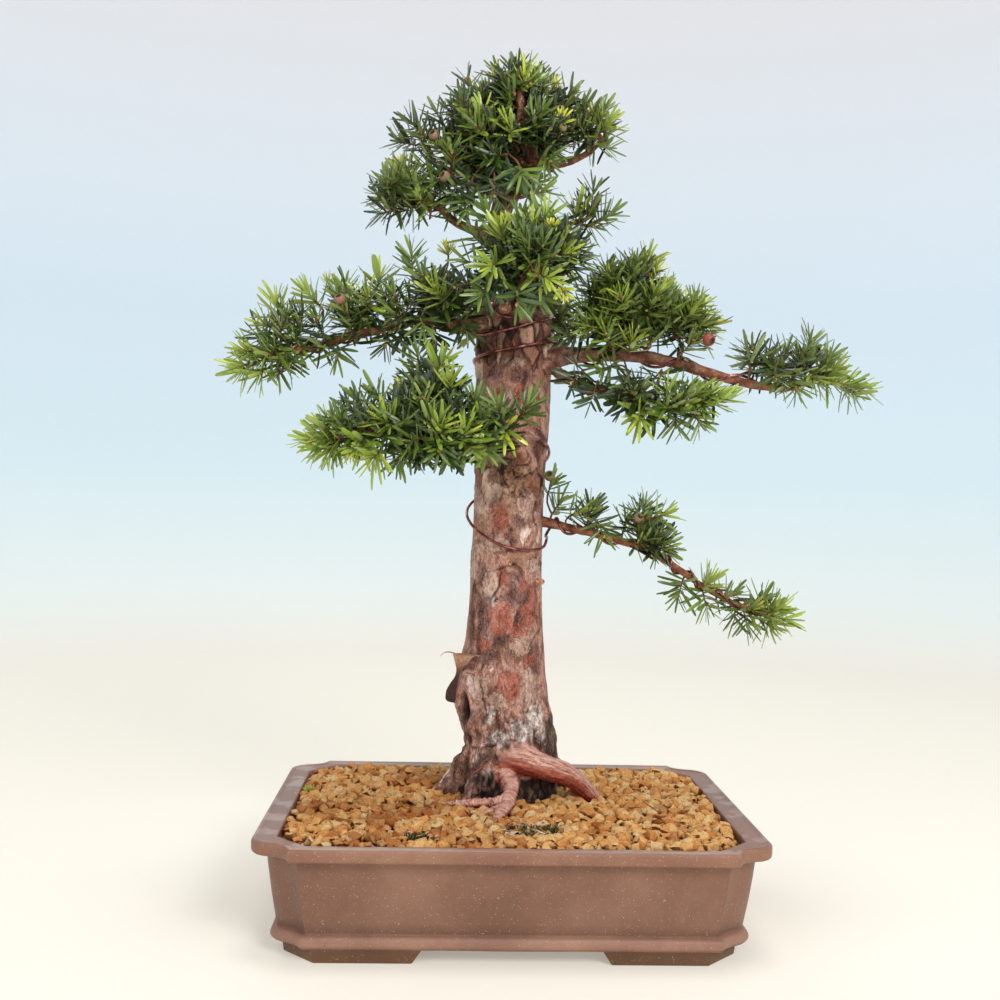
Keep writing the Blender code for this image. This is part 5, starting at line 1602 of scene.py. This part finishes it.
def dropLitter(spots):
    dice = random.Random(14)
    strands = []
    for x, y, wide, deep, count in litter["fibres"]:
        for _ in range(count):
            at = Vector((x + potX + dice.uniform(-wide, wide), y + dice.uniform(-deep, deep),
                         dice.uniform(84, 88)))
            way = scatter(dice, 1).normalized()
            way.z *= .35
            rows, thick = [], dice.uniform(.18, .4)
            for _ in range(7):
                rows.append((*at, thick))
                way = (way + scatter(dice, .35)).normalized()
                way.z *= .6
                at = at + way * dice.uniform(1.2, 2.4)
            strands.append(rows)
    fibres = tubesFrom("dry_fibres", strands, 4)
    finishPiece(fibres, cloudedMaterial("dry fibre", .8, (90, 2), [
        (.4, (58, 38, 26)), (.5, (150, 116, 84)), (.6, (232, 220, 198))]), "moss")

    rows, places, shades = [], [], []
    for _ in range(litter["dryNeedles"]):
        spot = dice.choice(spots)
        way = scatter(dice, 1)
        way.z *= .25
        way.normalize()
        side = way.cross(up).normalized()
        size = dice.uniform(.7, 1.05) * mm
        rows.append([way * size, side * size, side.cross(way) * -size])
        places.append((spot + Vector((0, 0, dice.uniform(3, 5)))) * mm)
        shades.append(dice.uniform(.93, .965))
    # the orange needle that lies against the root, and two sprouts at the left
    lying = Vector((18, -4, 13)).normalized()
    rows.append([lying * mm * 1.1, Vector((0, -1, 0)) * mm * .8, lying.cross(Vector((0, -1, 0))) * mm])
    places.append(Vector((-58, -6, 109)) * mm)
    shades.append(.985)
    for x, y in ((-194, 28), (-190, 33)):
        for _ in range(11):
            way = (up + scatter(dice, .55)).normalized()
            rows.append(axesFor(way, dice.uniform(.2, .32) * mm))
            places.append(Vector((x, y, 85)) * mm)
            shades.append(dice.uniform(.6, .7))
    kinds = [dice.randrange(4) for _ in rows]
    dry, _ = stampCopies("fallen_needles", needleShapes, kinds, rows, places, needleMap(np.array(shades)))
    finishPiece(smoothShade(dry, 55), needleMaterial("fallen needle", .9, Specular_IOR_Level=.1), "needles")


plantMoss()
dropLitter(heapGrains())
print("soil, moss and litter laid")


# Pot: the CAD outline with soft fired edges and a raised bead round the rim, in millimetres
pot = {
    "rim": (190, 142.5, 30, 3.8),            # half length, half width, corner cut and its swing
    "wallCut": 24, "wallSwing": 1.5, "top": 86.4, "lip": 10, "overhang": 11, "taper": 7,
    "bandTop": 20.5, "bandLow": 10.5, "bandProud": 4, "floorTop": 18.5, "hollow": (172.2, 128),
    # inset and height of the lip, from its underside over the bead to its inner side
    "lipLine": ((6, 0), (2.6, 0), (1.1, .35), (.3, 1.2), (0, 2.6), (0, 5), (0, 7.4), (.25, 8.8), (.9, 9.75),
                (1.9, 10.15), (2.9, 10), (3.8, 9.5), (4.6, 9.3)),
    "cornerPoints": 9, "sidePoints": (18, 13), "drain": (90, 13),
    "feet": {"depth": 26, "frontEnd": 72, "sideEnd": 66, "slant": 7, "halfLength": 166.5, "halfWidth": 123.5},
}


def potOutline(halfLength, halfWidth, cut, swing, z):
    # a rectangle with cut corners, each cut swinging in and out, and points along the straight sides
    corners, count = [], pot["cornerPoints"]
    for signX, signY, backwards in ((1, -1, False), (1, 1, True), (-1, 1, False), (-1, -1, True)):
        corner = []
        for k in range(count):
            t = k / (count - 1)
            inward = swing * math.sin(2 * math.pi * t) / math.sqrt(2)
            corner.append(Vector((signX * (halfLength - cut * (1 - t) - inward),
                                  signY * (halfWidth - cut * t - inward), z)))
        corners.append(corner[::-1] if backwards else corner)
    points = []
    for k, corner in enumerate(corners):
        points += corner
        following = corners[(k + 1) % 4][0]
        pieces = pot["sidePoints"][(k + 1) % 2]
        points += [corner[-1].lerp(following, j / pieces) for j in range(1, pieces)]
    return points


def potRings():
    length, width, cut, swing = pot["rim"]
    top, wallCut = pot["top"], pot["wallCut"]
    lipBottom = top - pot["lip"]
    topLength, topWidth = length - pot["overhang"], width - pot["overhang"]
    lowLength, lowWidth = topLength - pot["taper"], topWidth - pot["taper"]
    middle, half = (pot["bandTop"] + pot["bandLow"]) / 2, (pot["bandTop"] - pot["bandLow"]) / 2
    rings = []
    for angle in (-90, -72, -50, -25, 0, 25, 50, 72, 90):
        turn = math.radians(angle)
        proud = pot["bandProud"] * math.cos(turn) ** .8 if abs(angle) < 90 else 0
        rings.append((lowLength + proud, lowWidth + proud, wallCut, pot["wallSwing"],
                      middle + half * math.sin(turn)))
    for k in range(1, 10):
        # the wall leans out evenly, with a faint belly
        t = k / 10
        inset = pot["taper"] * (1 - t) - .5 * math.sin(math.pi * t)
        rings.append((topLength - inset, topWidth - inset, wallCut, pot["wallSwing"],
                      pot["bandTop"] + .6 + (lipBottom - 2.6 - pot["bandTop"]) * t))
    for out, z in ((0, -1.9), (.5, -.8), (1.8, -.1)):
        rings.append((topLength + out, topWidth + out, wallCut + out, pot["wallSwing"], lipBottom + z))
    for inset, z in pot["lipLine"]:
        share = 1 if inset < 5 else .6
        rings.append((length - inset, width - inset, cut, swing * share, lipBottom + z))
    inLength, inWidth = pot["hollow"]
    for k in range(1, 5):
        # across the rim the outline turns from the rim's curved corners to the hollow's straight ones
        t = k / 5
        rings.append((length - 4.6 + (inLength + 1.4 - length + 4.6) * t,
                      width - 4.6 + (inWidth + 1.4 - width + 4.6) * t,
                      cut + (wallCut - cut) * t, swing * (1 - t), lipBottom + 9.3 - .2 * t))
    for out, z in ((1.4, 9.1), (.5, 8.7), (.1, 7.9), (0, 6.8)):
        rings.append((inLength + out, inWidth + out, wallCut, 0, lipBottom + z))
    for t in (.3, .65, 1):
        drop = pot["taper"] * t
        rings.append((inLength - drop, inWidth - drop, wallCut, 0,
                      lipBottom + 6.8 + (pot["floorTop"] - lipBottom - 6.8) * t))
    return [potOutline(*ring) for ring in rings]


def makeFoot(signX, signY):
    foot = pot["feet"]
    rings = []
    for z, slant in ((0, 0), (4, 3 / 8 * foot["slant"]), (10.7, foot["slant"]), (12.5, foot["slant"])):
        length, width = foot["halfLength"] + slant * .2, foot["halfWidth"] + slant * .2
        cut, inner, depth = pot["wallCut"], pot["wallCut"] * .4, foot["depth"]
        front, side = foot["frontEnd"] - slant, foot["sideEnd"] - slant
        plan = [(front, width), (length - cut, width), (length, width - cut), (length, side),
                (length - depth, side), (length - depth, width - depth - inner),
                (length - depth - inner, width - depth), (front, width - depth)]
        rings.append([Vector((signX * x, signY * y, z)) for x, y in plan])
    made = liftRings(f"foot_{signX}_{signY}", rings)
    addModifier(made, "BEVEL", width=1.1 * mm, segments=3, limit_method="ANGLE", angle_limit=math.radians(35))
    return applyModifiers(made)


def throwPot():
    body = liftRings("stonewarePot", potRings())
    offset, radius = pot["drain"]
    for side in (-1, 1):
        clearSelection()
        bpy.ops.mesh.primitive_cylinder_add(vertices=32, radius=radius * mm, depth=.06,
                                            location=(side * offset * mm, 0, 15 * mm))
        hole = bpy.context.object
        addModifier(body, "BOOLEAN", operation="DIFFERENCE", object=hole, solver="EXACT")
        applyModifiers(body)
        bpy.data.objects.remove(hole)
    feet = [makeFoot(signX, signY) for signX in (-1, 1) for signY in (-1, 1)]
    pick(body)
    for foot in feet:
        foot.select_set(True)
    bpy.ops.object.join()
    body.location.x = potX * mm
    settle(body)
    at, out = surfaceOf(body)
    move = .35 * noiseAt(at, .018, .018, .03) * (1 - .8 * fade(at[:, 2], 70, 80)) + .1 * noiseAt(at, .09)
    roughen(body, at, out, move * fade(at[:, 2], 1, 6))
    smoothShade(body, 40)
    return finishPiece(body, clayMaterial(), "fired_clay", "pot")


def clayMaterial():
    material, tree = newMaterial("unglazed brown stoneware", .5, Specular_IOR_Level=.42)
    place = placeOf(tree)
    height = alongAxis(put(tree, "TexCoord").outputs["Object"], 2)
    facing = facingOf(tree)
    cloud = noiseOf(place, 14, 5, .6)
    body = rampOf(cloud, (.36, (138, 98, 80)), (.5, (150, 109, 90)), (.64, (162, 121, 101)))
    level = times(height, 10)
    zones = rampOf(level, (0, (176, 168, 138)), (.09, (168, 158, 128)), (.105, (206, 196, 188)),
                   (.14, (255, 255, 255)), (.205, (255, 255, 255)), (.225, (184, 178, 170)),
                   (.3, (214, 208, 200)), (.74, (224, 216, 208)), (.77, (236, 226, 216)))
    body = darken(1.0, body, zones)
    onRim = times(rampOf(facing, (.75, 0.0), (.95, 1.0)), mathOf("GREATER_THAN", height, .08))
    rimTone = rampOf(noiseOf(place, 30, 5, .6), (.38, (155, 123, 107)), (.5, (161, 129, 113)),
                     (.62, (168, 137, 121)))
    body = mixOf(onRim, body, rimTone)
    # damp brown stains along the soil at the front and back
    across = mathOf("ABSOLUTE", alongAxis(place, 1))
    damp = times(rampOf(times(across, 5), (.655, 1.0), (.672, 0.0)),
                  rampOf(noiseOf(place, 24, 4, .6), (.44, 0.0), (.5, .85)))
    body = mixOf(times(damp, onRim), body, srgb(126, 74, 36))
    specks = noiseOf(place, 1100, 2, .5)
    body = mixOf(rampOf(specks, (.68, 0.0), (.73, .7)), body, srgb(226, 206, 190))
    body = mixOf(rampOf(specks, (.27, .8), (.32, 0.0)), body, srgb(84, 58, 46))
    grit = noiseOf(place, 2600, 3, .6)
    body = darken(.35, body, rampOf(grit, (.3, .7), (.6, 1.0)))
    linkTo(body, "Base Color")
    # the rim is worn smooth, the walls stay dull
    dull = rampOf(cloud, (.4, .49), (.6, .54))
    linkTo(minus(dull, times(onRim, .18)), "Roughness")
    pits = rampOf(noiseOf(place, 420, 3, .6), (.28, 0.0), (.36, 1.0))
    both = plus(times(grit, .35), pits)
    bumpOf(both, .35, .5)
    return material


throwPot()


# Drainage mesh and its clips keep their CAD shapes
def finishDrainage():
    plastic = cloudedMaterial("black mesh plastic", .5, (200, 3), [(.4, (26, 26, 28)), (.6, (48, 46, 44))])
    steel = cloudedMaterial("clip wire", .4, (300, 3), [(.4, (150, 148, 146)), (.6, (196, 194, 190))],
                            Metallic=1.0)
    for side in ("left", "right"):
        dress(nodes["drain_mesh_" + side], plastic)
        dress(nodes["mesh_clip_" + side], steel)


finishDrainage()
print("pot thrown")


# Camera, as the photograph was taken
# turns in radians, and the lens in millimetres
camera = {"yaw": .0437, "pitch": -.0013, "roll": .0246, "lens": 43.2, "sensor": 36}


def addCamera():
    turn = Euler((math.pi / 2 + camera["pitch"], 0, -camera["yaw"])).to_matrix() @ Matrix.Rotation(
        camera["roll"], 3, "Z")
    clearSelection()
    bpy.ops.object.camera_add(location=eye * mm, rotation=turn.to_euler())
    made = bpy.context.object
    made.data.lens = camera["lens"]
    made.data.sensor_width = camera["sensor"]
    made.data.clip_start = .01
    bpy.context.scene.camera = made


# Plain pale studio: a round floor that curves up into a wall, and soft lights
studio = {"flat": 1.5, "curve": 1.2, "height": 3.4, "steps": 14,           # metres, and steps in the curve
          # place and size in metres, and power in watts
          "lights": {"key": ((.85, -1.75, 1.4), .8, 27), "fill": ((-1.3, -1.3, .8), 1.3, 6),
                     "top": ((.1, -.2, 2.5), .8, 17), "back": ((-.6, 1.5, 1.6), 1.2, 5)}}


def addStudio():
    clearSelection()
    bpy.ops.mesh.primitive_circle_add(vertices=96, radius=studio["flat"], fill_type="NGON")
    floor = bpy.context.object
    floor.name = "paleFloor"
    editAll(floor)
    steps, at = studio["steps"], Vector((0, 0, 0))
    for k in range(1, steps + 1):
        turn = math.pi / 2 * k / steps
        radius = studio["flat"] + studio["curve"] * math.sin(turn)
        before = studio["flat"] + studio["curve"] * math.sin(math.pi / 2 * (k - 1) / steps)
        lift = studio["curve"] * (1 - math.cos(turn))
        bpy.ops.mesh.extrude_region_move(TRANSFORM_OT_translate={"value": (0, 0, lift - at.z)})
        at.z = lift
        bpy.ops.transform.resize(value=(radius / before,) * 2 + (1,), center_override=at)
    bpy.ops.mesh.extrude_region_move(TRANSFORM_OT_translate={"value": (0, 0, studio["height"] - at.z)})
    bpy.ops.mesh.delete(type="FACE")
    leaveEdit()
    smoothShade(floor, 60)
    material, tree = newMaterial("pale studio paper", .9, Specular_IOR_Level=0, Emission_Strength=.38)
    height = alongAxis(put(tree, "TexCoord").outputs["Object"], 2)
    tone = rampOf(mathOf("DIVIDE", height, 2.4), (0, (237, 231, 218)), (.01, (235, 232, 222)),
                  (.04, (229, 235, 230)), (.16, (216, 231, 236)), (.36, (212, 226, 236)),
                  (.75, (229, 228, 231)))
    linkTo(darken(1.0, tone, srgb(228, 228, 228)), "Base Color")
    linkTo(tone, "Emission Color")
    dress(floor, material)


def addLights():
    aim = Vector((0, 0, .35))
    for name, (place, size, power) in studio["lights"].items():
        clearSelection()
        bpy.ops.object.light_add(type="AREA", location=place)
        lamp = bpy.context.object
        lamp.name = name + "Light"
        lamp.rotation_euler = (aim - Vector(place)).to_track_quat("-Z", "Y").to_euler()
        lamp.data.size = size
        lamp.data.energy = power
        lamp.visible_camera = False
    world = bpy.data.worlds.new("pale room")
    bpy.context.scene.world = world
    world.use_nodes = True
    world.node_tree.nodes["Background"].inputs[0].default_value = srgb(236, 240, 248)
    world.node_tree.nodes["Background"].inputs[1].default_value = .2
    bpy.context.scene.view_settings.view_transform = "Standard"


addCamera()
addStudio()
addLights()
print("camera, floor and lights set")
